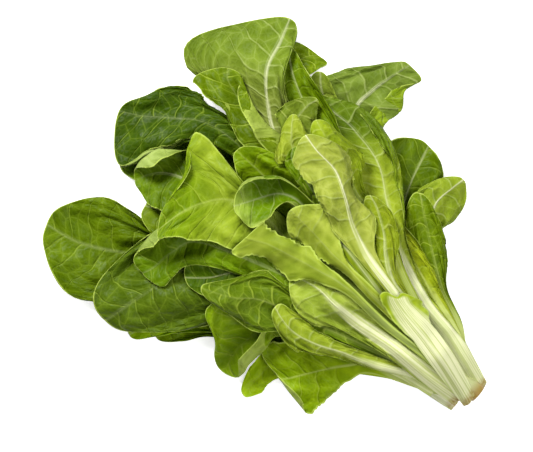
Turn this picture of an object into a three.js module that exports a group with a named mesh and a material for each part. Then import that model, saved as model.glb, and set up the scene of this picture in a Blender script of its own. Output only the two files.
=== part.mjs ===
// A head of lettuce, picked and lying on its side.
//
// Millimetres, +Z up. The head lies along +X: the cut butt is at low X and the leaf tips at high X.
// Every leaf is one closed solid: a thick pale petiole that widens into a thin, wavy blade.
// The leaves are laid one after the other, from the surface up, and each drapes over those below it.

import * as THREE from 'three';
import { mergeVertices } from 'three/addons/utils/BufferGeometryUtils.js';

// ---- Driving dimensions -----------------------------------------------------------------------------------

const BLADE = 0.9; // thickness of a leaf's blade
const GAP = 0.75; // clearance between a leaf and what it lies on
const RIB_WIDTH = 4.6; // half-width of the thickened rib at the butt
const RIB_WIDTH_TIP = 0.9; // half-width of the rib at the leaf's tip
const SLOPE = 0.6; // steepest way down of a leaf that is lifted by those below it
const ENOUGH = 0.03; // shortest shortfall that is made up
const CELL = 2; // cell of the height map that the leaves are laid on
const MAP = { x0: -24, y0: -150, nx: 162, ny: 146 }; // the height map's corner and size in cells
const LOFT = 1.8; // how strongly the blades cup and wave
const PETIOLE = 8; // half-width up to which a leaf's thickness stands square to its whole width
const BROAD = 20; // half-width from which it stands square to the leaf's own surface
const ROWS = 12; // facets along a leaf
const ACROSS = [-1, -0.88, -0.7, -0.38, 0, 0.38, 0.7, 0.88, 1]; // facet edges across a plain leaf
const ACROSS_FOLDED = [-1, -0.85, -0.65, -0.48, -0.25, 0, 0.25, 0.48, 0.65, 0.85, 1]; // across a folded one
const STEM_BUTT = [-5, -1.5]; // where the stem is cut, in the plan
// The stem's outline: its radius, and the distance from the butt.
const STEM_OUTLINE = [[0, 0], [5.4, 0], [6, 1.5], [5.6, 8], [4, 20], [2.4, 28], [0, 34]];

const DARK = 0x4f7512;
const FRESH = 0x8aa52c;
const PALE = 0xb4c46a;
const HEART = 0xb9c845;
const STEM = 0xd9cda6;

// ---- The leaves, from the bottom of the pile to the top ---------------------------------------------------
//
// name    the node's name
// face    the side that faces up: 'upper' or 'back'
// thick   thickness of the petiole at the butt
// cap     share of the length that rounds off into the tip
// dish    height of the margins over the midrib
// ruffle  [height, waves, phase] of the wavy margin
// rows    from the butt to the tip; each row crosses the leaf from its left margin to its right one, seen from
//         above and along its growth, through points [x, y] or [x, y, z], the middle one on the midrib

const PIECES = [
  {
    name: 'outer_leaf_1', face: 'upper', colour: FRESH, thick: 1.3, cap: 0.45, dish: 5, ruffle: [1.5, 3, 0],
    rows: [
      [[40, 18.5], [40, 16], [40, 13.5]],
      [[62, 33], [64, 27], [66, 21]],
      [[104, 58], [112, 48], [120, 38]],
      [[144, 78], [150, 69], [158, 58]],
      [[154, 93], [166, 86], [180, 76]],
      [[160, 103], [173, 101], [188, 92]],
    ],
  },
  {
    name: 'outer_leaf_2', face: 'upper', colour: DARK, thick: 1.3, cap: 0.45, dish: 4, ruffle: [1.5, 3, 1],
    rows: [
      [[44, 16.1], [44, 13.5], [44, 10.9]],
      [[80, 34], [82, 28], [84, 22]],
      [[126, 60], [134, 50], [142, 42]],
      [[154, 82], [164, 72], [176, 60]],
      [[168, 100], [178, 92], [194, 82]],
      [[174, 112], [186, 111], [202, 102]],
    ],
  },
  {
    name: 'outer_leaf_3', face: 'upper', colour: DARK, thick: 2, cap: 0.38, dish: 7, ruffle: [2.5, 4, 0.5],
    rows: [
      [[2, 10.2, 3], [2, 7, 3], [2, 3.8, 3]],
      [[60, 17], [60, 12], [60, 7]],
      [[120, 40], [124, 31], [128, 22]],
      [[170, 74], [178, 50], [188, 32]],
      [[198, 110], [214, 64], [226, 37]],
      [[228, 133], [245, 84], [256, 44]],
      [[260, 130], [270.5, 91], [279, 61]],
    ],
  },
  {
    name: 'outer_leaf_4', face: 'upper', colour: DARK, thick: 2, cap: 0.4, dish: 7, ruffle: [2.5, 4, 2],
    rows: [
      [[1, 17.2, 3], [1, 14, 3], [1, 10.8, 3]],
      [[60, 26], [60, 21], [60, 16]],
      [[112, 46], [118, 36], [124, 26]],
      [[146, 58], [160, 42], [178, 28]],
      [[151, 76], [186, 58], [213, 44]],
      [[158, 95], [195, 84], [230, 76]],
      [[170, 112], [203, 113], [246, 108]],
    ],
  },
  {
    name: 'outer_leaf_5', face: 'back', colour: PALE, thick: 2, cap: 0.2, dish: -4, ruffle: [1.5, 3, 0],
    rows: [
      [[34, -10], [34, -11.5], [34, -13], [34, -14.5], [34, -16]],
      [[66, -22], [66, -24.5], [66, -27], [66, -29.5], [66, -32]],
      [[120, -40], [118, -46], [114, -52], [108, -57], [107, -58, 1]],
      [[170, -62], [162, -66], [152, -72], [138, -76, 1], [140, -77, 6]],
      [[196, -84], [182, -86], [168, -89], [148, -92, 2], [159, -91, 9]],
      [[192, -100], [180, -102], [168, -104], [146, -107, 2], [158, -106, 9]],
      [[178, -118], [172, -119], [164, -120], [151, -119, 2], [157, -118, 7]],
      [[169, -131], [165, -132], [160, -132], [152, -130, 1], [154, -128, 5]],
    ],
  },
  {
    name: 'outer_leaf_6', face: 'upper', colour: FRESH, thick: 1.3, cap: 0.25, dish: 4, ruffle: [1.5, 3, 1],
    rows: [
      [[36, -7.4], [36, -10], [36, -12.6]],
      [[88, -16], [88, -21], [88, -26]],
      [[150, -36], [148, -44], [144, -52]],
      [[200, -54], [194, -64], [186, -72]],
      [[226, -74], [214, -80], [204, -82]],
      [[232, -92], [214, -92], [200, -93]],
      [[226, -102], [210, -100], [196, -102]],
    ],
  },
  {
    name: 'outer_leaf_7', face: 'upper', colour: DARK, thick: 1.3, cap: 0.4, dish: 4, ruffle: [1, 3, 0],
    rows: [
      [[42, -15.4], [42, -18], [42, -20.6]],
      [[88, -28], [88, -33], [88, -38]],
      [[140, -48], [138, -56], [134, -64]],
      [[178, -62], [172, -72], [166, -80]],
      [[200, -76], [192, -84], [184, -90]],
      [[208, -86], [200, -92], [192, -96]],
    ],
  },
  {
    name: 'outer_leaf_8', face: 'upper', colour: DARK, thick: 1.3, cap: 0.35, dish: 5, ruffle: [1.5, 3, 0],
    rows: [
      [[36, 9.6], [36, 7], [36, 4.4]],
      [[80, 15], [80, 10], [80, 5]],
      [[140, 32], [144, 22], [150, 10]],
      [[184, 52], [190, 32], [198, 14]],
      [[208, 56], [214, 36], [222, 14]],
      [[228, 60], [230, 42], [236, 20]],
    ],
  },
  {
    name: 'outer_leaf_9', face: 'upper', colour: DARK, thick: 1.3, cap: 0.3, dish: 5, ruffle: [1.5, 3, 2],
    rows: [
      [[40, 2.6], [40, 0], [40, -2.6]],
      [[88, 6], [88, 1], [88, -4]],
      [[150, 12], [152, 3], [154, -8]],
      [[205, 20], [206, 0], [208, -30]],
      [[228, 36], [238, 12], [240, -20]],
      [[240, 38], [258, 34], [268, 20]],
    ],
  },
  {
    name: 'outer_leaf_10', face: 'upper', colour: DARK, thick: 2, cap: 0.3, dish: 2, ruffle: [2, 4, 1],
    rows: [
      [[48, 2], [48, 0.5], [48, -1], [48, -2.5], [48, -4]],
      [[88, 0], [88, -2.5], [88, -5], [88, -7.5], [88, -10]],
      [[160, -6], [159, -7], [162, -14], [164, -20], [165, -24]],
      [[205, -16, 5], [202, -18, 2], [206, -24], [209, -28], [212, -33]],
      [[232, -10, 9], [229, -12, 4], [234, -22], [236, -28], [238, -33]],
      [[247, 8, 9], [243.5, 8, 4], [254, -10], [258, -20], [260, -31]],
      [[256, 22, 8], [252, 24, 3], [268, 0], [269, -14], [270, -28]],
      [[261, 31, 4], [263, 36, 1], [281.5, 7], [275, -12.5], [275.5, -28.5]],
    ],
  },
  {
    name: 'middle_leaf_1', face: 'upper', colour: DARK, thick: 1.3, cap: 0.2, dish: 3, ruffle: [1, 3, 0],
    rows: [
      [[44, 6.6], [44, 5.3], [44, 4], [44, 2.7], [44, 1.4]],
      [[96, 10], [96, 7.5], [96, 5], [96, 2.5], [96, 0]],
      [[160, 20], [160, 15], [161, 8], [162, 0], [162, -4]],
      [[205, 34, 4], [208, 24, 2], [213, 12], [220, 0, 2], [224, -4, 4]],
      [[222, 38, 5], [226, 29, 2], [232, 18], [243, 8, 3], [238, 10, 8]],
      [[231, 40, 5], [236, 33, 2], [241, 27], [249, 20, 4], [241, 22, 9]],
      [[238, 40, 3], [242, 37, 2], [245, 34], [249, 30, 3], [243, 30, 6]],
    ],
  },
  {
    name: 'outer_leaf_11', face: 'upper', colour: DARK, thick: 1.6, cap: 0.35, dish: 5, ruffle: [2, 4, 0],
    rows: [
      [[16, -11, 4], [16, -14, 4], [16, -17, 4]],
      [[50, -20], [50, -24], [50, -28]],
      [[84, -38], [82, -44], [80, -50]],
      [[116, -52], [104, -58], [92, -64]],
      [[134, -70], [112, -76], [94, -78]],
      [[144, -88], [116, -92], [94, -92]],
      [[136, -103], [118, -101], [100, -100]],
    ],
  },
  {
    name: 'outer_leaf_12', face: 'back', colour: PALE, thick: 1.6, cap: 0.35, dish: -3, ruffle: [1.5, 4, 0],
    rows: [
      [[-4, -4.5], [-4, -7.5], [-3, -10.5]],
      [[20, -14], [20, -17.5], [20, -20.8]],
      [[44, -24.5], [44, -28.5], [44, -32.3]],
      [[70, -42], [67, -46], [64, -50]],
      [[94, -58], [86, -62], [78, -64]],
      [[106, -72], [92, -76], [74, -76]],
      [[104, -88], [90, -90], [74, -90]],
      [[97, -99], [88, -98.5], [80, -98]],
    ],
  },
  { name: 'stem_core', colour: STEM },
  {
    name: 'middle_leaf_2', face: 'upper', colour: FRESH, thick: 1.6, cap: 0.35, dish: 3, ruffle: [1.5, 5, 0],
    rows: [
      [[22, -16.3], [22, -18.5], [22, -20.7]],
      [[34, -24], [34, -27], [33, -29.5]],
      [[60, -34], [57, -38], [54, -40]],
      [[86, -46], [76, -52], [66, -56]],
      [[104, -56], [92, -64], [80, -68]],
      [[114, -68], [104, -74], [94, -77]],
    ],
  },
  {
    name: 'middle_leaf_3', face: 'upper', colour: FRESH, thick: 2, cap: 0.3, dish: 2, ruffle: [1.2, 5, 0],
    rows: [
      [[20, -12.5], [20, -15], [20, -17.5]],
      [[30, -18.5], [30, -21], [30, -24]],
      [[55, -25], [54, -29], [52, -34]],
      [[76, -30], [75, -37], [73, -45]],
      [[98, -36], [97, -43], [94, -52]],
      [[116, -42], [114, -50], [110, -56]],
    ],
  },
  {
    name: 'middle_leaf_4', face: 'back', colour: PALE, thick: 3, cap: 0.25, dish: -3, ruffle: [2, 4, 0],
    rows: [
      [[-4, -2], [-4, -4], [-4, -6.5], [-4, -9], [-4, -11]],
      [[20, -8], [20, -11], [20, -14], [20, -17], [20, -19.6]],
      [[36, -13], [36, -16], [36, -19], [36, -21.5], [36, -23.5]],
      [[62, -18], [62, -21], [62, -24.5], [62, -28], [62, -30.5]],
      [[90, -26], [90, -31], [90, -36], [91, -43], [91, -45, 1]],
      [[124, -40], [120, -48], [114, -56], [108, -62, 1], [110, -62, 6]],
      [[156, -54], [146, -62], [136, -72], [126, -80, 1], [131, -77, 8]],
      [[180, -62], [170, -69], [160, -78], [148, -90, 1], [155, -85, 9]],
      [[192, -66], [186, -72], [178, -78], [168, -91, 1], [173, -84, 9]],
      [[200, -72], [197, -76], [194, -80], [184, -84, 1], [185, -81, 6]],
    ],
  },
  {
    name: 'middle_leaf_5', face: 'upper', colour: DARK, thick: 1.3, cap: 0.3, dish: 3, ruffle: [1.5, 3, 0],
    rows: [
      [[38, -5.4], [38, -8], [38, -10.6]],
      [[60, -8], [60, -12], [60, -16]],
      [[100, -18], [98, -23], [96, -28]],
      [[140, -36], [138, -45], [134, -54]],
      [[180, -48], [172, -60], [164, -70]],
      [[204, -58], [194, -70], [184, -80]],
      [[220, -72], [212, -80], [204, -88]],
      [[232, -88], [226, -92], [220, -98]],
    ],
  },
  {
    name: 'middle_leaf_6', face: 'back', colour: PALE, thick: 2, cap: 0.4, dish: -3, ruffle: [2, 4, 2],
    rows: [
      [[36, -3], [36, -6], [36, -9]],
      [[60, -6], [60, -10], [60, -14]],
      [[110, -14], [109, -20], [108, -27]],
      [[160, -20], [156, -31], [150, -42]],
      [[200, -30], [192, -42], [182, -52]],
      [[236, -36, 2], [212, -56, 3], [198, -63]],
      [[276, -33, 5], [226, -72, 4], [208, -69]],
      [[295, -49, 6], [231, -90, 3], [219, -84]],
      [[264, -94], [236, -106, 1], [222, -104]],
    ],
  },
  {
    name: 'middle_leaf_7', face: 'upper', colour: FRESH, thick: 1.3, cap: 0.3, dish: 1, ruffle: [1.2, 4, 0],
    rows: [
      [[44, -1.4], [44, -2.7], [44, -4], [44, -5.3], [44, -6.6]],
      [[90, -4.5], [90, -6.75], [90, -9], [90, -11.25], [90, -13.5]],
      [[150, -14], [149, -18], [148, -23], [146, -28], [145, -29, 1]],
      [[196, -26], [196, -30], [195, -34], [190, -43, 4], [191, -38, 11]],
      [[216, -30], [216, -34], [216, -38], [210, -43, 5], [214, -37, 12]],
      [[236, -36], [236, -41], [235, -46], [226, -51, 5], [229, -45, 11]],
      [[252, -37], [252, -44], [249, -51], [236, -60, 3], [235, -54, 8]],
      [[262, -36], [258, -45], [254, -54], [246, -62, 1], [242, -60, 5]],
    ],
  },
  {
    name: 'middle_leaf_8', face: 'upper', colour: FRESH, thick: 1.3, cap: 0.18, dish: 3, ruffle: [1, 3, 0],
    rows: [
      [[24, 17.5], [24, 15.5], [24, 13.5]],
      [[50, 30], [51, 26], [52, 22]],
      [[82, 52], [86, 46], [90, 40]],
      [[96, 70], [104, 64], [112, 58]],
      [[99, 84], [107, 80], [115, 76]],
      [[101, 95], [107, 94], [114, 92]],
    ],
  },
  {
    name: 'middle_leaf_9', face: 'upper', colour: FRESH, thick: 2, cap: 0.05, dish: 3, ruffle: [1.5, 3, 0],
    rows: [
      [[14, 15], [14, 12.5], [14, 10]],
      [[28, 20.5], [28, 18], [29, 14.5]],
      [[56, 32], [57, 25], [59, 18]],
      [[63, 44], [71, 38], [80, 28]],
      [[65, 60, 3], [82, 52], [98, 38]],
      [[70, 76, 8], [94, 69, 5], [114, 57, 2]],
      [[75, 71, 13], [98, 70, 10], [117, 68, 5]],
    ],
  },
  {
    name: 'middle_leaf_10', face: 'upper', colour: DARK, thick: 1.3, cap: 0.4, dish: 6, ruffle: [2, 4, 0],
    rows: [
      [[44, 14.6], [44, 12], [44, 9.4]],
      [[88, 20], [88, 15], [88, 10]],
      [[130, 32], [132, 24], [134, 16]],
      [[150, 46], [158, 36], [168, 24]],
      [[158, 60], [170, 50], [188, 36]],
      [[166, 68], [182, 60], [196, 46]],
    ],
  },
  {
    name: 'middle_leaf_11', face: 'upper', colour: DARK, thick: 1.3, cap: 0.2, dish: 2, ruffle: [1.5, 3, 0],
    rows: [
      [[48, 9.6], [48, 8.3], [48, 7], [48, 5.7], [48, 4.4]],
      [[98, 15], [98, 12.5], [98, 10], [98, 7.5], [98, 5]],
      [[150, 34], [152, 29], [153, 24], [155, 18], [156, 13]],
      [[180, 48, 5], [184, 44, 2], [190, 38], [204, 30, 3], [200, 33, 6]],
      [[188, 62, 6], [192, 60, 3], [198, 54], [213, 46, 4], [208, 50, 9]],
      [[188, 73, 5], [194, 71, 3], [201, 68], [215, 60, 4], [209, 58, 9]],
      [[190, 77, 3], [198, 76, 2], [204, 75], [214, 73, 2], [211, 67, 5]],
    ],
  },
  {
    name: 'middle_leaf_12', face: 'upper', colour: FRESH, thick: 1.4, cap: 0.25, dish: 3, ruffle: [1.5, 3, 1],
    rows: [
      [[18, 18.6], [18, 17.3], [18, 16], [18, 14.7], [18, 13.4]],
      [[50, 25], [50, 23.25], [50, 21.5], [50, 19.75], [50, 18]],
      [[90, 43], [89, 41], [92, 37], [95, 32], [97, 28]],
      [[122, 48, 9], [114, 50, 4], [122, 44], [134, 42, 3], [146, 40, 5]],
      [[123, 62, 10], [115.5, 62, 5], [126, 60], [142, 56, 4], [158, 52, 6]],
      [[124, 76, 10], [117, 76, 5], [128, 73], [142, 70, 4], [158, 68, 5]],
      [[124, 82, 6], [116, 82, 4], [127, 82, 1], [136, 80, 3], [146, 77, 4]],
      [[124, 88, 2], [117, 89, 2], [127, 91, 1], [136, 89, 1], [145, 86, 1]],
    ],
  },
  {
    name: 'middle_leaf_13', face: 'back', colour: FRESH, thick: 1.3, cap: 0.4, dish: -4, ruffle: [1.5, 3, 0],
    rows: [
      [[44, 14.5], [44, 12], [44, 9.5]],
      [[80, 28], [80, 23], [80, 18]],
      [[112, 44], [116, 34], [122, 24]],
      [[128, 58], [138, 40], [146, 24]],
      [[146, 62], [152, 50], [160, 38]],
      [[166, 66], [170, 58], [174, 52]],
    ],
  },
  {
    name: 'middle_leaf_14', face: 'upper', colour: FRESH, thick: 1.3, cap: 0.4, dish: 4, ruffle: [2, 4, 0],
    rows: [
      [[50, -2.6], [50, -5], [50, -7.4]],
      [[90, -4], [90, -8], [90, -12]],
      [[140, -8], [140, -15], [139, -22]],
      [[172, -2], [170, -18], [166, -36]],
      [[192, -2], [190, -20], [186, -38]],
      [[206, -8], [208, -21], [202, -38]],
    ],
  },
  {
    name: 'inner_leaf_1', face: 'upper', colour: FRESH, thick: 1.4, cap: 0.1, dish: 3, ruffle: [1.5, 4, 0],
    rows: [
      [[46, 3.6], [46, 2.3], [46, 1], [46, -0.3], [46, -1.6]],
      [[90, 6], [90, 4], [90, 1], [90, -2], [90, -4]],
      [[140, 14], [141, 8], [143, 2], [145, -4], [147, -8]],
      [[166, 26, 6], [170, 14, 3], [176, -1], [182, -6, 2], [188, -8, 5]],
      [[182, 32, 6], [186, 22, 3], [193, 7], [208, -4, 3], [226, -14, 3]],
      [[196, 40, 6], [198, 30, 4], [202, 18], [215, 8, 4], [237, -7, 2]],
      [[206, 48, 5], [207, 42, 3], [209, 31, 1], [217, 24, 4], [226, 10, 6]],
      [[208, 54, 2], [210, 52, 2], [212, 49, 2], [216, 44, 3], [221, 36, 4]],
    ],
  },
  {
    name: 'heart_leaf_1', face: 'back', colour: HEART, thick: 1.4, cap: 0.2, dish: -1, ruffle: [1, 3, 0],
    rows: [
      [[58, -11.8], [58, -14], [58, -16.2]],
      [[100, -22], [100, -25], [100, -28]],
      [[150, -36], [148, -42], [146, -48]],
      [[184, -46], [178, -52], [172, -58]],
      [[202, -50], [191, -58], [180, -62]],
      [[202, -66], [192, -70], [184, -70]],
      [[196, -78], [190, -77], [186, -76]],
    ],
  },
  {
    name: 'heart_leaf_2', face: 'back', colour: HEART, thick: 1.4, cap: 0.3, dish: -2, ruffle: [1, 3, 1],
    rows: [
      [[60, -7.8], [60, -10], [60, -12.2]],
      [[100, -16], [100, -19], [100, -22]],
      [[150, -28], [150, -33], [149, -38]],
      [[174, -38], [172, -44], [170, -50]],
      [[184, -30, 4], [182, -44], [178, -55]],
      [[195, -46], [190, -52], [184, -59]],
      [[199, -56], [195, -60], [190, -64]],
    ],
  },
  {
    name: 'heart_leaf_3', face: 'upper', colour: HEART, thick: 1.4, cap: 0.4, dish: 3, ruffle: [1, 3, 0],
    rows: [
      [[62, -3.8], [62, -6], [62, -8.2]],
      [[100, -12], [100, -15], [100, -18]],
      [[148, -24], [147, -29], [146, -34]],
      [[168, -30], [167, -35], [166, -40]],
      [[179, -31], [178, -38], [176, -44]],
      [[184, -38], [182, -44], [179, -50]],
    ],
  },
  {
    name: 'inner_leaf_2', face: 'upper', colour: PALE, thick: 1.4, cap: 0.05, dish: 0, ruffle: [0, 3, 0],
    rows: [
      [[50, -0.6], [50, -1.8], [50, -3], [50, -4.2], [50, -5.4]],
      [[90, -8], [90, -9], [90, -11], [90, -13], [90, -14]],
      [[130, -15.5], [130, -17.5], [131, -20], [132, -22.5], [133, -24.5]],
      [[149, -12, 8], [149, -13, 4], [152, -19, 1], [154, -25, 3], [155, -26, 7]],
      [[162, -12, 13], [161, -13, 8], [165, -21, 1], [166, -29, 4], [167, -28, 9]],
      [[170, 2, 15], [166.5, 2, 10], [174, -8], [182, -20, 7], [180, -18, 11]],
      [[176, 10, 15], [173, 13.5, 10], [178, 3, 2], [188, -4, 8], [185, -4, 12]],
      [[180, 9, 14], [181, 14, 9], [184, 8, 6], [189, 2, 8], [185, 2, 12]],
    ],
  },
  {
    name: 'inner_leaf_3', face: 'back', colour: PALE, thick: 1.6, cap: 0.15, dish: -2, ruffle: [1.2, 4, 0],
    rows: [
      [[40, 1.9], [40, -0.5], [40, -2.9]],
      [[60, -1], [60, -4], [60, -7]],
      [[88, -3], [90, -6.5], [92, -10]],
      [[106, -5], [108, -9], [112, -12]],
      [[122, -3], [124, -10], [126, -20]],
      [[136, -2], [137, -12], [138, -28]],
      [[150, -1], [145, -14], [146, -30]],
    ],
  },
  {
    name: 'inner_leaf_4', face: 'back', colour: PALE, thick: 2.6, cap: 0.25, dish: -2, ruffle: [1.5, 4, 0],
    rows: [
      [[18, 13.5], [18, 11], [18, 8.5]],
      [[36, 17.5], [36, 15], [36, 12.5]],
      [[58, 29], [59, 25], [61, 21]],
      [[80, 38], [82, 34], [85, 29]],
      [[94, 47], [98, 40], [104, 32]],
      [[110, 51], [113, 42], [118, 31]],
      [[128, 49], [128, 38], [128, 27]],
    ],
  },
  {
    name: 'inner_leaf_5', face: 'back', colour: PALE, thick: 3, cap: 0.3, dish: -2, ruffle: [1.2, 4, 1],
    rows: [
      [[6, 13], [6, 8], [6, 2.8]],
      [[30, 15.2], [30, 10], [30, 4.3]],
      [[58, 16], [58, 10], [58, 4]],
      [[84, 22], [85, 12.5], [84, 1]],
      [[101, 29], [101, 13], [100, -1]],
      [[118, 35], [115, 12], [112, 1]],
      [[134, 32], [131, 15], [124, 4]],
    ],
  },
  {
    name: 'inner_leaf_6', face: 'back', colour: PALE, thick: 1.6, cap: 0.1, dish: -2, ruffle: [1.2, 4, 2],
    rows: [
      [[44, 6.4], [44, 4], [44, 1.6]],
      [[70, 6], [70, 3], [70, 0]],
      [[100, 4], [100, 1], [100, -2]],
      [[118, 10], [119, 3], [120, -2.5]],
      [[136, 19], [138, 7], [140, -2]],
      [[154, 20], [156, 11], [158, 2]],
      [[168, 28], [170, 16], [168, 5]],
    ],
  },
  {
    name: 'inner_leaf_7', face: 'back', colour: HEART, thick: 1.5, cap: 0.3, dish: -3, ruffle: [1.5, 4, 0],
    rows: [
      [[50, -11.6], [50, -14], [50, -16.4]],
      [[80, -22], [80, -26], [80, -30]],
      [[112, -36], [110, -42], [108, -48]],
      [[140, -42], [136, -48], [130, -52]],
      [[160, -50], [154, -58], [146, -68]],
      [[178, -54], [172, -62], [164, -71]],
      [[186, -60], [182, -66], [176, -74]],
    ],
  },
  {
    name: 'inner_leaf_8', face: 'back', colour: HEART, thick: 1.6, cap: 0.35, dish: -2, ruffle: [1, 3, 0],
    rows: [
      [[46, -8.6], [46, -11], [46, -13.4]],
      [[60, -12], [60, -15], [60, -18]],
      [[84, -16], [84, -20], [82, -24]],
      [[100, -24], [97, -29], [92, -34]],
      [[112, -34], [106, -39], [97, -44]],
      [[126, -42], [118, -48], [108, -54]],
      [[134, -48], [127, -52], [120, -58]],
    ],
  },
  {
    name: 'inner_leaf_9', face: 'back', colour: PALE, thick: 2.2, cap: 0.15, dish: -3, ruffle: [1.5, 4, 0],
    rows: [
      [[36, -2.2], [36, -5], [36, -7.8]],
      [[60, -7], [60, -10.5], [60, -14]],
      [[84, -13], [84, -17], [84, -20]],
      [[108, -17], [106, -22], [104, -28]],
      [[128, -20], [124, -30], [116, -43]],
      [[146, -27], [140, -41], [134, -46]],
      [[160, -34], [154, -49], [148, -58]],
      [[176, -34], [170, -51], [160, -64]],
      [[184, -44], [181, -54], [176, -62]],
    ],
  },
  {
    name: 'inner_leaf_10', face: 'back', colour: PALE, thick: 3, cap: 0.15, dish: -1.5, ruffle: [1, 4, 0],
    rows: [
      [[-1.5, 5.5], [-1.5, 1.5], [-1.5, -3]],
      [[16, 5], [15, -0.5], [15, -6]],
      [[31, 4], [30, -3.5], [29, -11]],
      [[50, 0], [47, -8], [44, -17]],
      [[68, -1.5], [64, -11], [56, -21.5]],
      [[80, -3], [75, -12.5], [67, -22.5]],
      [[88, -4.5], [81, -13], [74, -20.5]],
    ],
  },
];

// ---- One leaf's surface -----------------------------------------------------------------------------------

const smooth = (a, b, x) => {
  const k = Math.min(1, Math.max(0, (x - a) / (b - a)));
  return k * k * (3 - 2 * k);
};

// A smooth curve through the values p(0), p(1) ... p(last), carried straight on past both ends.
function spline(p, last, u) {
  const i = Math.min(last - 1, Math.floor(u));
  const f = u - i;
  const b = p(i);
  const c = p(i + 1);
  const a = i > 0 ? p(i - 1) : 2 * b - c;
  const d = i + 1 < last ? p(i + 2) : 2 * c - b;
  return b + 0.5 * f * (c - a + f * (2 * a - 5 * b + 4 * c - d + f * (3 * (b - c) + d - a)));
}

// Where along the leaf the facet edge at s (0 at the butt, 1 at the tip) and t (-1 left, 0 midrib, 1 right) lies.
// The cap pulls the margins back with the cube of t, so that the blade ends in a round tip.
const along = (leaf, s, t) => s * (1 - leaf.cap * Math.abs(t) ** 3);

// The point of a leaf's middle surface at m along it and t across it.
function surface(leaf, m, t) {
  const lastRow = leaf.rows.length - 1;
  const lastColumn = leaf.rows[0].length - 1;
  const crossing = (i, k) => spline((j) => leaf.rows[i][j][k] ?? 0, lastColumn, ((t + 1) / 2) * lastColumn);
  const point = [0, 1, 2].map((k) => spline((i) => crossing(i, k), lastRow, m * lastRow));
  const [height, waves, phase] = leaf.ruffle;
  const around = Math.atan2(t, 1.03 - m);
  const open = smooth(0.35, 0.75, m);
  point[2] += open * LOFT * leaf.dish * t * t;
  point[2] += open * LOFT * height * Math.abs(t) ** 2.5 * Math.sin(2 * waves * around + phase);
  return new THREE.Vector3(...point);
}

// How far the petiole and the midrib stand out of the back of the blade.
function ribHeight(leaf, s, t, halfWidth) {
  const width = RIB_WIDTH_TIP + (RIB_WIDTH - RIB_WIDTH_TIP) * (1 - s);
  const height = 0.3 + (leaf.thick - 0.3) * (1 - smooth(0, 0.85, s));
  return height * Math.exp(-(((t * halfWidth) / width) ** 2));
}

// The closed shell of a leaf whose middle surface is lifted by lift(x, y). The petiole's thickness stands square to
// its whole width, the blade's to the surface nearby.
function leafShell(leaf, lift) {
  const folded = leaf.rows[0].length > 3;
  const across = folded ? ACROSS_FOLDED : ACROSS;
  const n = across.length;
  const at = (m, t) => {
    const p = surface(leaf, Math.min(1, Math.max(0, m)), Math.min(1, Math.max(-1, t)));
    p.z += lift(p.x, p.y);
    return p;
  };
  const squareTo = (m, t, reach) => {
    const sideways = at(m, t + reach).sub(at(m, t - reach));
    return sideways.cross(at(m + 0.05, t).sub(at(m - 0.05, t))).normalize();
  };
  const up = [];
  const down = [];
  for (let i = 0; i <= ROWS; i++) {
    const s = 1 - (1 - i / ROWS) ** 1.25;
    const crossing = across.map((t) => at(s, t));
    const halfWidth = crossing.slice(1).reduce((sum, p, j) => sum + p.distanceTo(crossing[j]), 0) / 2;
    const square = squareTo(s, 0, 1);
    const own = smooth(PETIOLE, BROAD, halfWidth);
    for (const t of across) {
      const m = along(leaf, s, t);
      const p = at(m, t);
      const normal = squareTo(m, t, 0.2).lerp(square, 1 - own).normalize();
      const rib = ribHeight(leaf, s, t, halfWidth);
      const [above, below] = leaf.face === 'back' ? [BLADE / 2 + rib, BLADE / 2] : [BLADE / 2, BLADE / 2 + rib];
      up.push(p.clone().addScaledVector(normal, above));
      down.push(p.clone().addScaledVector(normal, -below));
    }
  }
  const faces = [];
  const quad = (a, b, c, d) => faces.push([a, b, c], [a, c, d]);
  const low = up.length;
  for (let i = 0; i < ROWS; i++) {
    for (let j = 0; j < n - 1; j++) {
      const k = i * n + j;
      if (across[j] < 0) {
        quad(k + 1, k + n + 1, k + n, k);
        quad(low + k + 1, low + k, low + k + n, low + k + n + 1);
      } else {
        quad(k, k + 1, k + n + 1, k + n);
        quad(low + k, low + k + n, low + k + n + 1, low + k + 1);
      }
    }
    const left = i * n;
    const right = left + n - 1;
    quad(left, left + n, low + left + n, low + left);
    quad(right + n, right, low + right, low + right + n);
  }
  for (let j = 0; j < n - 1; j++) {
    const tip = ROWS * n + j;
    quad(j + 1, j, low + j, low + j + 1);
    quad(tip, tip + 1, low + tip + 1, low + tip);
  }
  return { points: [...up, ...down], faces };
}

// ---- Laying the pieces on one another ---------------------------------------------------------------------

// The height map: the top of all that has been laid so far, in cells seen from above.
const cells = MAP.nx * MAP.ny;
const height = new Float32Array(cells);
const cellAt = (x, y) => [(x - MAP.x0) / CELL, (y - MAP.y0) / CELL];

// Calls visit(cell, z) at every cell that a facet covers, seen from above, and at its corners.
function overCells(points, faces, visit) {
  for (const [ia, ib, ic] of faces) {
    const [a, b, c] = [points[ia], points[ib], points[ic]];
    const [ax, ay] = cellAt(a.x, a.y);
    const [bx, by] = cellAt(b.x, b.y);
    const [cx, cy] = cellAt(c.x, c.y);
    visit(Math.round(ay) * MAP.nx + Math.round(ax), a.z);
    const area = (bx - ax) * (cy - ay) - (cx - ax) * (by - ay);
    if (Math.abs(area) < 1e-3) continue;
    for (let j = Math.ceil(Math.min(ay, by, cy)); j <= Math.max(ay, by, cy); j++) {
      for (let i = Math.ceil(Math.min(ax, bx, cx)); i <= Math.max(ax, bx, cx); i++) {
        const v = ((i - ax) * (cy - ay) - (cx - ax) * (j - ay)) / area;
        const w = ((bx - ax) * (j - ay) - (i - ax) * (by - ay)) / area;
        if (v >= -1e-6 && w >= -1e-6 && v + w <= 1 + 1e-6) {
          visit(j * MAP.nx + i, a.z + v * (b.z - a.z) + w * (c.z - a.z));
        }
      }
    }
  }
}

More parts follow.
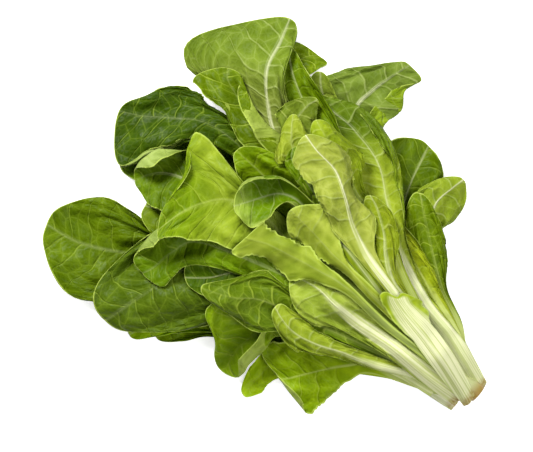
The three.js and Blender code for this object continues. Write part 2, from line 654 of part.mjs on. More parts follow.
// Each cell takes the highest value within reach cells of it.
function spread(map, reach) {
  let from = map;
  for (const step of [1, MAP.nx]) {
    const to = Float32Array.from(from);
    for (let k = reach * MAP.nx + reach; k < cells - reach * MAP.nx - reach; k++) {
      for (let r = -reach; r <= reach; r++) to[k] = Math.max(to[k], from[k + r * step]);
    }
    from = to;
  }
  return from;
}

// The lowest skin over the wanted heights that is nowhere steeper than SLOPE, with its creases rounded off.
function drape(wanted) {
  const skin = Float32Array.from(wanted);
  const straight = SLOPE * CELL;
  const diagonal = straight * Math.SQRT2;
  for (const way of [-1, 1]) {
    for (let q = MAP.nx + 1; q < cells - MAP.nx - 1; q++) {
      const k = way < 0 ? q : cells - 1 - q;
      const next = k + way * MAP.nx;
      skin[k] = Math.max(
        skin[k],
        skin[k + way] - straight,
        skin[next] - straight,
        skin[next - 1] - diagonal,
        skin[next + 1] - diagonal,
      );
    }
  }
  const rounded = Float32Array.from(skin);
  for (let k = MAP.nx + 1; k < cells - MAP.nx - 1; k++) {
    const sides = skin[k - 1] + skin[k + 1] + skin[k - MAP.nx] + skin[k + MAP.nx];
    rounded[k] = skin[k] / 3 + sides / 6;
  }
  return rounded;
}

// The map's value between its cells.
function sample(map, x, y) {
  const [u, v] = cellAt(x, y);
  const [i, j] = [Math.floor(u), Math.floor(v)];
  const k = j * MAP.nx + i;
  const near = map[k] + (u - i) * (map[k + 1] - map[k]);
  const far = map[k + MAP.nx] + (u - i) * (map[k + MAP.nx + 1] - map[k + MAP.nx]);
  return near + (v - j) * (far - near);
}

// How much higher a shell has to be to clear what lies below it, at each of its cells or, with atCorners, at the
// corners of the facets that are too low.
function shortfall(shell, clear, atCorners) {
  const missing = new Float32Array(cells);
  for (const face of shell.faces) {
    let worst = 0;
    overCells(shell.points, [face], (k, z) => {
      const lack = clear[k] - z;
      worst = Math.max(worst, lack);
      if (!atCorners) missing[k] = Math.max(missing[k], lack);
    });
    if (!atCorners || worst < ENOUGH) continue;
    for (const corner of face) {
      const [x, y] = cellAt(shell.points[corner].x, shell.points[corner].y);
      const k = Math.round(y) * MAP.nx + Math.round(x);
      missing[k] = Math.max(missing[k], worst);
    }
  }
  return missing;
}

// Lays a piece made by make(lift) on the pile, and adds it to the height map.
function lay(make) {
  const clear = spread(height, 1).map((z) => (z > 0 ? z + GAP : 0));
  let skin = drape(shortfall(make(() => 0), clear, false));
  let shell = make((x, y) => sample(skin, x, y));
  for (let round = 0; round < 20; round++) {
    const missing = shortfall(shell, clear, true);
    if (!missing.some((v) => v > 0)) break;
    const more = spread(missing, 1);
    skin = drape(skin.map((v, k) => v + more[k]));
    shell = make((x, y) => sample(skin, x, y));
  }
  overCells(shell.points, shell.faces, (k, z) => (height[k] = Math.max(height[k], z)));
  return shell;
}

// ---- The stem ---------------------------------------------------------------------------------------------

// The short stem, turned about X: cut square at the butt and tapering to its growing point. It rests on what
// has been laid before it.
function stemShell(lift) {
  const [x, y] = STEM_BUTT;
  const stem = new THREE.LatheGeometry(STEM_OUTLINE.map(([r, h]) => new THREE.Vector2(r, h)), 18);
  stem.rotateZ(-Math.PI / 2);
  stem.deleteAttribute('normal');
  stem.deleteAttribute('uv');
  const whole = mergeVertices(stem, 1e-3);
  const place = whole.getAttribute('position');
  const rest = 6 + Math.max(...[0, 8, 16, 24].map((d) => lift(x + d, y)));
  const points = [...Array(place.count).keys()].map(
    (i) => new THREE.Vector3(place.getX(i) + x, place.getY(i) + y, place.getZ(i) + rest),
  );
  const index = whole.getIndex();
  const faces = [];
  for (let f = 0; f < index.count; f += 3) {
    const corners = [index.getX(f), index.getX(f + 1), index.getX(f + 2)];
    if (new Set(corners).size === 3) faces.push(corners);
  }
  return { points, faces };
}

// ---- The head ---------------------------------------------------------------------------------------------

const head = new THREE.Group();
for (const piece of PIECES) {
  const shell = lay((lift) => (piece.rows ? leafShell(piece, lift) : stemShell(lift)));
  const geometry = new THREE.BufferGeometry().setFromPoints(shell.points);
  geometry.setIndex(shell.faces.flat());
  geometry.computeVertexNormals();
  const material = new THREE.MeshStandardMaterial({ color: piece.colour, roughness: 0.5, metalness: 0 });
  const mesh = new THREE.Mesh(geometry, material);
  mesh.name = piece.name;
  head.add(mesh);
}

// The origin is under the middle of the head, on the surface that it lies on.
const box = new THREE.Box3().setFromObject(head);
const middle = box.getCenter(new THREE.Vector3());
head.position.set(-middle.x, -middle.y, -box.min.z);
head.updateMatrixWorld(true);

export default head;
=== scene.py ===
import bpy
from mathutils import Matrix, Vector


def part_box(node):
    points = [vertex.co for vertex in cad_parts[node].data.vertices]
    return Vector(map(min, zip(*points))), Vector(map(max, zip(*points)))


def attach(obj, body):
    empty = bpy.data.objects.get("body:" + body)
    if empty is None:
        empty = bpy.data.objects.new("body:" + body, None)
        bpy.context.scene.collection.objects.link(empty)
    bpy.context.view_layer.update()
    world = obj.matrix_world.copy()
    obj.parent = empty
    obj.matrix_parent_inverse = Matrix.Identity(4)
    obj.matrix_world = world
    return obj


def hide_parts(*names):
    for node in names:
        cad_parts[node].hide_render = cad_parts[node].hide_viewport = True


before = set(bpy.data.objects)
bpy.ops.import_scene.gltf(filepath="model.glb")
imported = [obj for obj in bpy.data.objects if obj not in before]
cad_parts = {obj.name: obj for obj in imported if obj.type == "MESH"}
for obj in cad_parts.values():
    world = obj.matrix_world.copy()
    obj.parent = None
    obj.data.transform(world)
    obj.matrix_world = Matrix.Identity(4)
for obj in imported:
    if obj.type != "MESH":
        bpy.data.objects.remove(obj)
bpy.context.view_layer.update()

import itertools
import math

import bpy
import numpy as np

# ---- The outer leaves ----------------------------------------------------------------------------------
# The oldest leaves of the head: large, dark and cupped, with a pale rib on the back of each. They are laid
# down first, on the surface that the head rests on, and the other leaves press on them. middle_leaf_1 lies
# under two of them, so it is laid down here too.

# Lengths are in millimetres in the head's own plan: X from the cut butt to the tips, Y to the left, Z up.
# The plan is set over the solids by the stem.
STEM_BUTT = -5  # X of the stem's cut face
STEM_AXIS = -1.5  # Y of its middle
stem_low, stem_high = (np.array(corner) * 1000 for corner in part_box("stem_core"))
to_frame = np.array([stem_low[0] - STEM_BUTT, (stem_low[1] + stem_high[1]) / 2 - STEM_AXIS, 0])

ALONG = 120  # mesh cells along a leaf
ACROSS = 60  # and across it
BLADE = 0.85  # thickness of a blade
MARGIN = 0.35  # and of its margin
RIB_TIP = 0.3  # how far the rib stands out at the tip
GROOVE = 0.2  # depth of the groove over the rib, on the upper side
LOFT = 1.8  # how strongly the blades cup and wave
GAP = 1.0  # clearance between a leaf and what it lies on
SHORT = 0.05  # how much of that clearance may be missing
GROUND = 0.02  # lowest place of a leaf over the surface that the head rests on
SLOPE = 0.6  # steepest way down of a leaf that is lifted by those below it
SPACING = 15  # distance between the side veins of a leaf, along its midrib
LEAN = 0.62  # how far forward a side vein runs for each mm away from the midrib
BEND = 0.006  # and how much more for each mm that it is out already
STAGGER = 0.45  # how far the veins on one side stand ahead of the other side's, in spacings
MAP_CORNER = np.array([-30, -155])  # the height map's corner; its cells are 1 mm wide
height = np.zeros((300, 335))  # top of all that has been laid so far
numbers = itertools.count(40)  # each piece takes the next one, and a leaf waves by its own


def smooth(a, b, x):
    """0 below a, 1 above b, and 3k^2 - 2k^3 between them."""
    k = np.clip((x - a) / (b - a), 0, 1)
    return k * k * (3 - 2 * k)


def through(points, u, *rest):
    """The curve through points[0], points[1] and so on at u: on each stretch the cubic whose slope at an end
    is half the step between that end's neighbours. Past both ends the points go straight on."""
    before = 2 * points[:1] - points[1:2]
    after = 2 * points[-1:] - points[-2:-1]
    p = np.concatenate([before, points, after])
    i = np.clip(np.floor(u).astype(int), 0, len(points) - 2)
    a, b, c, d = (p[(i + k, *rest)] for k in range(4))
    f = (u - i).reshape(u.shape + (1,) * (b.ndim - u.ndim))
    return b + 0.5 * f * (c - a + f * (2 * a - 5 * b + 4 * c - d + f * (3 * (b - c) + d - a)))


def sines(way, *terms):
    """The sum of strength sin(way / length + turn) over the terms (strength, length, turn)."""
    return sum(strength * np.sin(way / length + turn) for strength, length, turn in terms)


def middle_surface(rows, cap, dish, ruffle, crisp, seed):
    """The middle of a leaf on a grid of s, from butt to tip, and t, -1 at the left margin, 0 on the midrib
    and 1 at the right. Grid lines crowd towards the margins and the tip. A point lies on the curves through
    the rows at m = s(1 - cap|t|^3), which rounds the tip. Where the blade opens it rises by dish t^2 and
    waves by |t|^2.5 sin of the angle round the tip. Its margin frills up and down by crisp |t|^5, and strays
    in and out by |t|^6 in lobes and by crisp |t|^12 in fine teeth, all of them sines of the way along it."""
    s = np.linspace(0, 1, ALONG + 1)[:, None]
    x = np.linspace(-1, 1, ACROSS + 1)[None, :]
    t = x * (1.4 - 0.4 * x * x)
    s = 1 - (1 - s) ** 1.15
    m = s * (1 - cap * np.abs(t) ** 3)
    net = np.array([[point + (0,) * (3 - len(point)) for point in row] for row in rows], float)
    rows_across = through(net.transpose(1, 0, 2), (t[0] + 1) / 2 * (net.shape[1] - 1)).transpose(1, 0, 2)
    p = through(rows_across, m * (len(net) - 1), np.arange(t.size)[None, :])
    high, waves, phase = ruffle
    around = np.arctan2(t, 1.03 - m)
    opened = smooth(0.35, 0.75, m)
    p[..., 2] += opened * LOFT * dish * t * t
    p[..., 2] += opened * LOFT * high * np.abs(t) ** 2.5 * np.sin(2 * waves * around + phase)
    way = np.cumsum(np.linalg.norm(np.diff(p, axis=0, prepend=p[:1]), axis=2), axis=0)
    frill = sines(way, (1, 2.3, seed), (0.7, 1.37, 2 * seed + t), (1.6, 5.1, 3 * seed))
    p[..., 2] += crisp * opened * np.abs(t) ** 5 * frill
    out = p - p[:, ACROSS // 2 : ACROSS // 2 + 1]
    out /= np.linalg.norm(out, axis=2, keepdims=True) + 1e-6
    lobes = sines(way, (1.1, 5.1, 3 * seed), (0.6, 3.1, 3 * seed), (0.4, 1.9, seed))
    teeth = 0.35 * crisp * np.sin(way / 0.66 + 2 * np.sin(way / 2.7)) * np.abs(t) ** 6
    p += (opened * np.abs(t) ** 6 * (lobes * (0.3 + 0.8 * crisp) + teeth))[..., None] * out
    return p, s + 0 * t, t + 0 * s, m


def leaf_plan(p, s, t, seed):
    """Where each point of a leaf lies on the leaf's own plan, in mm: along the midrib, across it, and in from
    the nearest margin; wide is half the leaf's width there. Along is counted partly from the butt and partly
    back from the tip, so that veins fan out, and the plan is bent by sines, so that what is drawn on it
    strays."""
    half = ACROSS // 2
    way = np.cumsum(np.linalg.norm(np.diff(p[:, half], axis=0, prepend=p[:1, half]), axis=1))
    steps = np.linalg.norm(np.diff(p, axis=1, prepend=p[:, :1]), axis=2)
    across = np.cumsum(steps, axis=1)
    margin = np.minimum(across, across[:, -1:] - across)
    wide = across[:, -1:] / 2
    across = across - across[:, half : half + 1]
    ends = np.abs(np.diff(p, axis=0, prepend=p[:1])).sum(axis=2)
    to_tip = ends[::-1].cumsum(axis=0)[::-1]
    along = way[-1] - to_tip + 0 * t
    along = np.maximum(along, 0) * 0.35 + way[:, None] * 0.65
    margin = np.minimum(margin, way[-1] * (1 - s))
    far = smooth(2, 12, np.abs(across))
    along = along + far * (1.4 * np.sin(across / 8 + seed) + 1.2 * np.sin(along / 11 + 2 * seed))
    across = across * (1 + 0.05 * np.sin(along / 15 + seed))
    return along, across, margin, wide


def swell(along, across, wide, seed):
    """How far the blade domes up between its side veins, by |sin|^0.8 with one arch to each SPACING mm, and
    how it rolls in slow, middling and quick waves, each a product or a sum of sines along and across the
    leaf. It is 0 on the petiole and along the midrib."""
    reach = np.abs(across)
    front = along - reach * (LEAN + BEND * reach) + STAGGER * SPACING * (across > 0)
    dome = np.abs(np.sin(math.pi * front / SPACING)) ** 0.8
    slow = np.sin(along / 10 + across / 8 + seed) + np.sin(along / 13 - across / 7 + 2 * seed)
    bent = along / 5.2 + 1.4 * np.sin(across / 7 + seed) + seed
    mid = np.sin(bent) * np.sin(across / 5.6 + along / 16 + 2 * seed)
    quick = np.sin(along / 2.6 + 2 * np.sin(across / 5 + seed)) * np.sin(across / 2.4 + seed)
    blade = smooth(10, 24, wide) * smooth(2, 9, reach)
    return blade * (0.9 * dome + 1.2 * slow + 1.4 * mid + 0.16 * quick)


def sample(field, xy):
    """The height map's value between its cells, in proportion to the distance from each."""
    u, v = np.moveaxis(xy - MAP_CORNER, -1, 0)
    i, j = np.floor(u).astype(int), np.floor(v).astype(int)
    u, v = u - i, v - j
    near = field[j, i] * (1 - u) + field[j, i + 1] * u
    far = field[j + 1, i] * (1 - u) + field[j + 1, i + 1] * u
    return near * (1 - v) + far * v


def widen(field):
    """Each cell takes the highest value of itself and its eight neighbours."""
    for axis in (0, 1):
        field = np.maximum(field, np.maximum(np.roll(field, 1, axis), np.roll(field, -1, axis)))
    return field


def drape(wanted):
    """The lowest skin over the wanted heights that is nowhere steeper than SLOPE, found by a sweep each way
    over the rows, and then rounded by averaging each cell with its neighbours."""
    ramp = SLOPE * np.arange(wanted.shape[1])
    skin = wanted.copy()
    for order in (range(len(skin)), range(len(skin) - 1, -1, -1)):
        above = None
        for j in order:
            line = skin[j]
            if above is not None:
                line = np.maximum(line, above - SLOPE)
            line = np.maximum.accumulate(line + ramp) - ramp
            line = (np.maximum.accumulate((line - ramp)[::-1]) + ramp[::-1])[::-1]
            skin[j] = above = line
    for _ in range(6):
        for axis in (0, 1):
            skin = skin / 2 + (np.roll(skin, 1, axis) + np.roll(skin, -1, axis)) / 4
    return skin


def shell(p, s, t, face, thick):
    """The two faces of a leaf: its middle moved both ways along the normal, by half the blade, which thins as
    |t|^6 to its margin. On the leaf's back the rib is added, which stands out by thick at the butt and by a
    bell curve of the distance from the midrib, and on its front the groove is taken off, by a narrower one.
    A narrow petiole is thickened square to its whole width."""
    along, sideways = np.gradient(p, axis=0), np.gradient(p, axis=1)
    own = np.cross(sideways, along)
    own /= np.linalg.norm(own, axis=2, keepdims=True) + 1e-9
    width = p[:, -1] - p[:, 0]
    square = np.cross(width, along[:, ACROSS // 2])
    square /= np.linalg.norm(square, axis=1, keepdims=True) + 1e-9
    half = np.linalg.norm(width, axis=1)[:, None] / 2
    share = smooth(8, 20, half)[..., None]
    normal = square[:, None] * (1 - share) + own * share
    for _ in range(3):
        padded = np.pad(normal, ((1, 1), (1, 1), (0, 0)), mode="edge")
        beside = padded[:-2, 1:-1], padded[2:, 1:-1], padded[1:-1, :-2], padded[1:-1, 2:]
        normal = sum(beside, 2 * normal) / 6
    normal /= np.linalg.norm(normal, axis=2, keepdims=True) + 1e-9
    blade = (BLADE - (BLADE - MARGIN) * np.abs(t) ** 6) / 2
    bell = np.exp(-((t * half / (0.9 + 3.7 * (1 - s))) ** 2))
    rib = (RIB_TIP + (thick - RIB_TIP) * (1 - smooth(0, 0.85, s))) * bell
    groove = GROOVE * np.exp(-((t * half / 1.3) ** 2))
    front, back = blade - groove, blade + rib
    above, below = (back, front) if face == "back" else (front, back)
    return p + above[..., None] * normal, p - below[..., None] * normal


def cells_of(sheets):
    """The cells that two faces of a leaf cover, and their heights, from points half a grid step apart."""
    grids = np.stack(sheets)
    grids = np.concatenate([grids, (grids[:, :-1] + grids[:, 1:]) / 2], axis=1)
    grids = np.concatenate([grids, (grids[:, :, :-1] + grids[:, :, 1:]) / 2], axis=2)
    points = grids.reshape(-1, 3)
    i, j = np.round(points[:, :2] - MAP_CORNER).astype(int).T
    return (j, i), points[:, 2]


def lay(p, build):
    """Lifts a leaf's middle so that build(middle), its two faces, clears what lies below. The lift depends
    only on the place in the plan: it is what is missing, draped, and topped up until hardly anything is."""
    global height
    clear = widen(widen(height))
    clear = np.where(clear > 0, clear + GAP, 0)
    skin = np.zeros_like(height)
    for _ in range(9):
        lifted = p.copy()
        lifted[..., 2] += sample(skin, p[..., :2])
        sheets = build(lifted)
        where, z = cells_of(sheets)
        missing = np.zeros_like(height)
        np.maximum.at(missing, where, clear[where] - z)
        if missing.max() < SHORT:
            break
        skin = drape(skin + widen(missing))
    for sheet in sheets:
        sheet[..., 2] = np.maximum(sheet[..., 2], GROUND)
    np.maximum.at(height, where, z)
    return sheets


def linear(r, g, b):
    """A colour as the eye grades it, 0 to 255, in the light that it sends back, 0 to 1: straight near black,
    and a power of 2.4 above that."""
    c = np.array([r, g, b]) / 255
    return np.where(c < 0.04045, c / 12.92, ((c + 0.055) / 1.055) ** 2.4)


def closed_mesh(name, sheets, marks):
    """One closed mesh of a leaf's upper and lower faces and the strip round their margin. marks are values on
    the two faces' points, kept as attributes."""
    rows, columns = sheets[0].shape[:2]
    k = np.arange(rows * columns).reshape(rows, columns)
    low = k + rows * columns
    top = np.stack([k[:-1, :-1], k[:-1, 1:], k[1:, 1:], k[1:, :-1]], axis=-1).reshape(-1, 4)
    bottom = np.stack([low[:-1, :-1], low[1:, :-1], low[1:, 1:], low[:-1, 1:]], axis=-1).reshape(-1, 4)
    edge = np.concatenate([k[:, 0], k[-1, 1:], k[-2::-1, -1], k[0, -2::-1]])
    rim = np.stack([edge[:-1], edge[1:], edge[1:] + low[0, 0], edge[:-1] + low[0, 0]], axis=-1)
    faces = np.concatenate([top, bottom, rim])
    points = (np.concatenate([sheet.reshape(-1, 3) for sheet in sheets]) + to_frame) / 1000
    mesh = bpy.data.meshes.new(name)
    mesh.from_pydata(points, [], faces.tolist())
    for key, values in marks.items():
        kind = "FLOAT_COLOR" if values.shape[-1] == 4 else "FLOAT_VECTOR"
        field = "color" if kind == "FLOAT_COLOR" else "vector"
        mesh.attributes.new(key, kind, "POINT").data.foreach_set(field, values.astype(np.float32).ravel())
    mesh.polygons.foreach_set("use_smooth", np.ones(len(faces), bool))
    mesh.update()
    piece = bpy.data.objects.new(name, mesh)
    bpy.context.scene.collection.objects.link(piece)
    return piece


def feed(tree, socket, value):
    """Links a socket to another socket, or sets its value."""
    if isinstance(value, bpy.types.NodeSocket):
        tree.links.new(value, socket)
    else:
        socket.default_value = value


def node(tree, kind, inputs=None, **settings):
    """A shader node of that kind, with its settings and the inputs that differ from the usual ones."""
    made = tree.nodes.new("ShaderNode" + kind)
    for key, value in settings.items():
        setattr(made, key, value)
    for key, value in (inputs or {}).items():
        feed(tree, made.inputs[key], value)
    return made


def maths(tree, operation, *values):
    """The result of one arithmetic step."""
    return node(tree, "Math", dict(enumerate(values)), operation=operation).outputs[0]


def fade(tree, value, start, end, low=0.0, high=1.0):
    """low at start, high at end, and a smooth step between them."""
    steps = dict(enumerate((value, start, end, low, high)))
    return node(tree, "MapRange", steps, interpolation_type="SMOOTHSTEP").outputs[0]


def blend(tree, share, first, second, how="MIX"):
    """Two colours mixed by share."""
    return node(tree, "Mix", {0: share, 6: first, 7: second}, data_type="RGBA", blend_type=how).outputs[2]


def cloud(tree, place, scale, detail=2.0):
    """Smooth noise from 0 to 1 about a half, with scale swells to a millimetre."""
    return node(tree, "TexNoise", {"Vector": place, "Scale": scale, "Detail": detail})


def cells(tree, place, scale):
    """How far a point is from the walls between cells of random shape, scale of them to a millimetre."""
    inputs = {"Vector": place, "Scale": scale}
    walls = node(tree, "TexVoronoi", inputs, feature="DISTANCE_TO_EDGE", voronoi_dimensions="2D")
    return walls.outputs["Distance"]


def attribute(tree, name):
    """One of a piece's own attributes, whole and in its three parts."""
    values = node(tree, "Attribute", attribute_name=name).outputs["Vector"]
    return values, node(tree, "SeparateXYZ", {0: values}).outputs


def point(tree, x, y, z):
    """A vector from its three parts."""
    return node(tree, "CombineXYZ", {0: x, 1: y, 2: z}).outputs[0]


def shader_group(name, inputs, outputs):
    """An empty node group with those sockets, and its input and output nodes."""
    tree = bpy.data.node_groups.new(name, "ShaderNodeTree")
    for label, kind in inputs:
        tree.interface.new_socket(label, in_out="INPUT", socket_type="NodeSocket" + kind)
    for label, kind in outputs:
        tree.interface.new_socket(label, in_out="OUTPUT", socket_type="NodeSocket" + kind)
    return tree, tree.nodes.new("NodeGroupInput").outputs, tree.nodes.new("NodeGroupOutput").inputs


def leaf_tissue():
    """The look of lettuce tissue on a leaf's own plan: side veins that leave the midrib at a slant and bend
    forward, a net of finer veins between them, small blisters inside the net, fibres in the petiole, a light
    margin and a dried cut. Height is for a bump: veins stand up on the back of a leaf and lie sunk in its
    upper side."""
    tree, given, out = shader_group(
        "lettuce tissue",
        [
            ("Vein Colour", "Color"),
            ("Rib Colour", "Color"),
            ("Vein Strength", "Float"),
            ("Net Strength", "Float"),
        ],
        [("Colour", "Color"), ("Height", "Float"), ("Gloss", "Float")],
    )
    margin_green = (*linear(188, 208, 92), 1)
    dried_brown = (*linear(158, 122, 34), 1)
    _, (along, across, side) = attribute(tree, "leaf_place")
    _, (pale, margin, cut) = attribute(tree, "leaf_marks")
    _, (seed, blade, _) = attribute(tree, "leaf_seed")
    tint = node(tree, "Attribute", attribute_name="leaf_tint").outputs["Color"]
    spot = point(tree, along, across, seed)
    back = maths(tree, "LESS_THAN", side, 0.0)

    # Side veins: lines SPACING apart on the leaning plan, thinner and fainter towards the margin.
    reach = maths(tree, "ABSOLUTE", across)
    lean = maths(tree, "MULTIPLY", reach, maths(tree, "MULTIPLY_ADD", reach, BEND, LEAN))
    turn = maths(tree, "MULTIPLY", maths(tree, "GREATER_THAN", across, 0.0), STAGGER * SPACING)
    front = maths(tree, "ADD", maths(tree, "SUBTRACT", along, lean), turn)
    stray = cloud(tree, spot, 0.06, 1.0).outputs["Fac"]
    front = maths(tree, "MULTIPLY_ADD", maths(tree, "SUBTRACT", stray, 0.5), 7.0, front)
    gap = maths(tree, "MULTIPLY", maths(tree, "PINGPONG", front, SPACING / 2), 0.8)
    wide = fade(tree, reach, 0.0, 40.0, 0.55, 0.28)
    wide = maths(tree, "MULTIPLY", wide, maths(tree, "MULTIPLY_ADD", back, 0.3, 1.0))
    veins = fade(tree, gap, maths(tree, "MULTIPLY", wide, 0.35), wide, 1.0, 0.0)
    veins = maths(tree, "MULTIPLY", veins, fade(tree, reach, 14.0, 42.0, 1.0, 0.25))
    patches = cloud(tree, spot, 0.09, 1.0).outputs["Fac"]
    veins = maths(tree, "MULTIPLY", veins, fade(tree, patches, 0.3, 0.6, 0.35, 1.0))
    veins = maths(tree, "MULTIPLY", veins, blade)

    # The net: walls between cells of two sizes, some 12 and 4 mm wide.
    bent = point(tree, maths(tree, "SUBTRACT", along, maths(tree, "MULTIPLY", reach, 0.5)), across, seed)
    coarse = cells(tree, bent, 0.085)
    fine = cells(tree, bent, 0.26)
    coarse_net = fade(tree, coarse, 0.012, 0.05, 1.0, 0.0)
    fine_net = fade(tree, fine, 0.02, 0.13, 1.0, 0.0)
    net = maths(tree, "MAXIMUM", coarse_net, maths(tree, "MULTIPLY", fine_net, 0.35))
    net = maths(tree, "MULTIPLY", net, blade)

    # The green: slow blotches and fine grain, lighter by the net and left off the pale parts.
    blotch = cloud(tree, spot, 0.04, 2.0).outputs["Fac"]
    grain = cloud(tree, spot, 0.7, 2.0).outputs["Fac"]
    shade = fade(tree, blotch, 0.3, 0.7, 0.85, 1.15)
    shade = maths(tree, "ADD", shade, maths(tree, "MULTIPLY", maths(tree, "SUBTRACT", grain, 0.5), 0.16))
    shade = maths(tree, "MULTIPLY", shade, fade(tree, coarse, 0.0, 0.35, 1.1, 0.9))
    mottle = {0: maths(tree, "POWER", shade, 1.2), 1: shade, 2: maths(tree, "POWER", shade, 2.2)}
    mottle = node(tree, "CombineColor", mottle).outputs[0]
    colour = blend(tree, maths(tree, "SUBTRACT", 1.0, pale), tint, mottle, "MULTIPLY")
    colour = blend(tree, maths(tree, "MULTIPLY", net, given["Net Strength"]), colour, given["Vein Colour"])
    colour = blend(tree, maths(tree, "MULTIPLY", veins, given["Vein Strength"]), colour, given["Vein Colour"])

    # The margin, the fibres of the midrib and petiole, drawn out along the leaf, and the dried cut.
    rim = fade(tree, margin, 0.5, 1.5, 0.8, 0.0)
    colour = blend(tree, rim, colour, margin_green)
    drawn_out = point(tree, maths(tree, "MULTIPLY", along, 0.02), across, seed)
    fibres = cloud(tree, drawn_out, 0.9, 2.0).outputs["Fac"]
    white = maths(tree, "MULTIPLY", pale, fade(tree, fibres, 0.35, 0.62, 0.15, 1.0))
    colour = blend(tree, white, colour, given["Rib Colour"])
    dried = maths(tree, "MULTIPLY", cut, fade(tree, grain, 0.35, 0.6, 0.55, 1.0))
    colour = blend(tree, dried, colour, dried_brown)

    # The relief: domes inside the net, furrows along the side veins and ridges along the petiole.
    blister = maths(tree, "MULTIPLY", fade(tree, fine, 0.0, 0.45), 0.35)
    dome = maths(tree, "ADD", fade(tree, coarse, 0.0, 0.4), blister)
    furrow = maths(tree, "MULTIPLY", fade(tree, gap, 0.0, maths(tree, "MULTIPLY", wide, 2.4), 1.0, 0.0), 0.8)
    relief = maths(tree, "MULTIPLY", maths(tree, "SUBTRACT", dome, furrow), side)
    green = maths(tree, "MULTIPLY", blade, maths(tree, "SUBTRACT", 1.0, pale))
    relief = maths(tree, "MULTIPLY", relief, green)
    ridges = maths(tree, "MULTIPLY", maths(tree, "MULTIPLY", fibres, pale), 1.2)
    gloss = maths(tree, "ADD", fade(tree, grain, 0.3, 0.7, 0.36, 0.48), maths(tree, "MULTIPLY", back, 0.08))
    tree.links.new(colour, out["Colour"])
    tree.links.new(maths(tree, "ADD", relief, ridges), out["Height"])
    tree.links.new(gloss, out["Gloss"])
    return tree


tissue_group = leaf_tissue()


def leaf_material(name, vein, rib, vein_strength, net_strength, glow):
    """Lettuce tissue on a shader that is part gloss and part light let through; glow is that part's share."""
    made = bpy.data.materials.new(name)
    made.use_nodes = True
    tree = made.node_tree
    tree.nodes.clear()
    tissue = tree.nodes.new("ShaderNodeGroup")
    tissue.node_tree = tissue_group
    values = {
        "Vein Colour": (*linear(*vein), 1),
        "Rib Colour": (*linear(*rib), 1),
        "Vein Strength": vein_strength,
        "Net Strength": net_strength,
    }
    for key, value in values.items():
        tissue.inputs[key].default_value = value
    bump = node(tree, "Bump", {"Strength": 0.7, "Distance": 0.0007, "Height": tissue.outputs["Height"]})
    skin = node(
        tree,
        "BsdfPrincipled",
        {
            "Base Color": tissue.outputs["Colour"],
            "Roughness": tissue.outputs["Gloss"],
            "IOR": 1.4,
            "Specular IOR Level": 0.12,
            "Normal": bump.outputs[0],
        },
    )
    warm = blend(tree, 1.0, tissue.outputs["Colour"], (1.0, 1.0, 0.3, 1), "MULTIPLY")
    let_through = node(tree, "BsdfTranslucent", {"Color": warm, "Normal": bump.outputs[0]})
    mixed = node(tree, "MixShader", {0: glow, 1: skin.outputs[0], 2: let_through.outputs[0]})
    node(tree, "OutputMaterial", {0: mixed.outputs[0]})
    return made


materials = {
    "leaf_dark": leaf_material("leaf_dark", (146, 168, 54), (212, 220, 158), 0.42, 0.18, 0.1),
    "leaf_fresh": leaf_material("leaf_fresh", (170, 190, 66), (204, 216, 120), 0.5, 0.2, 0.16),
    "leaf_pale": leaf_material("leaf_pale", (188, 202, 122), (250, 250, 208), 0.38, 0.13, 0.14),
}
# For each kind of leaf, the usual colour of its upper side, of its back, and of the blade near the petiole.
greens = {
    "dark": ((80, 108, 4), (146, 166, 78), (118, 146, 22)),
    "fresh": ((116, 146, 5), (150, 170, 66), (142, 166, 30)),
    "pale": ((128, 154, 20), (152, 172, 76), (172, 188, 86)),
}

PITH_FADE = 22  # a petiole turns from pale to green over this far before and after X = white
BUTT = 8  # petioles that start before this X are cut with the stem
DRIED = (1.0, 4.5)  # the distances from the butt between which the brown of the cut fades out
DRIED_LEFT = 0.8  # how strong it is on the left of the butt, beside 1 on the right
YOUNG = (0.15, 0.55)  # the shares of a leaf's length between which its young colour gives way
FAR_END = (0.58, 0.82)  # and those between which the colour of its far end comes in
PALE_AND_LIT_LIP = (0.8, 1.0)  # and the shares of the way to the margin between which its edge's colour does; that lighter lip is partly the margin's own paleness and partly painted light
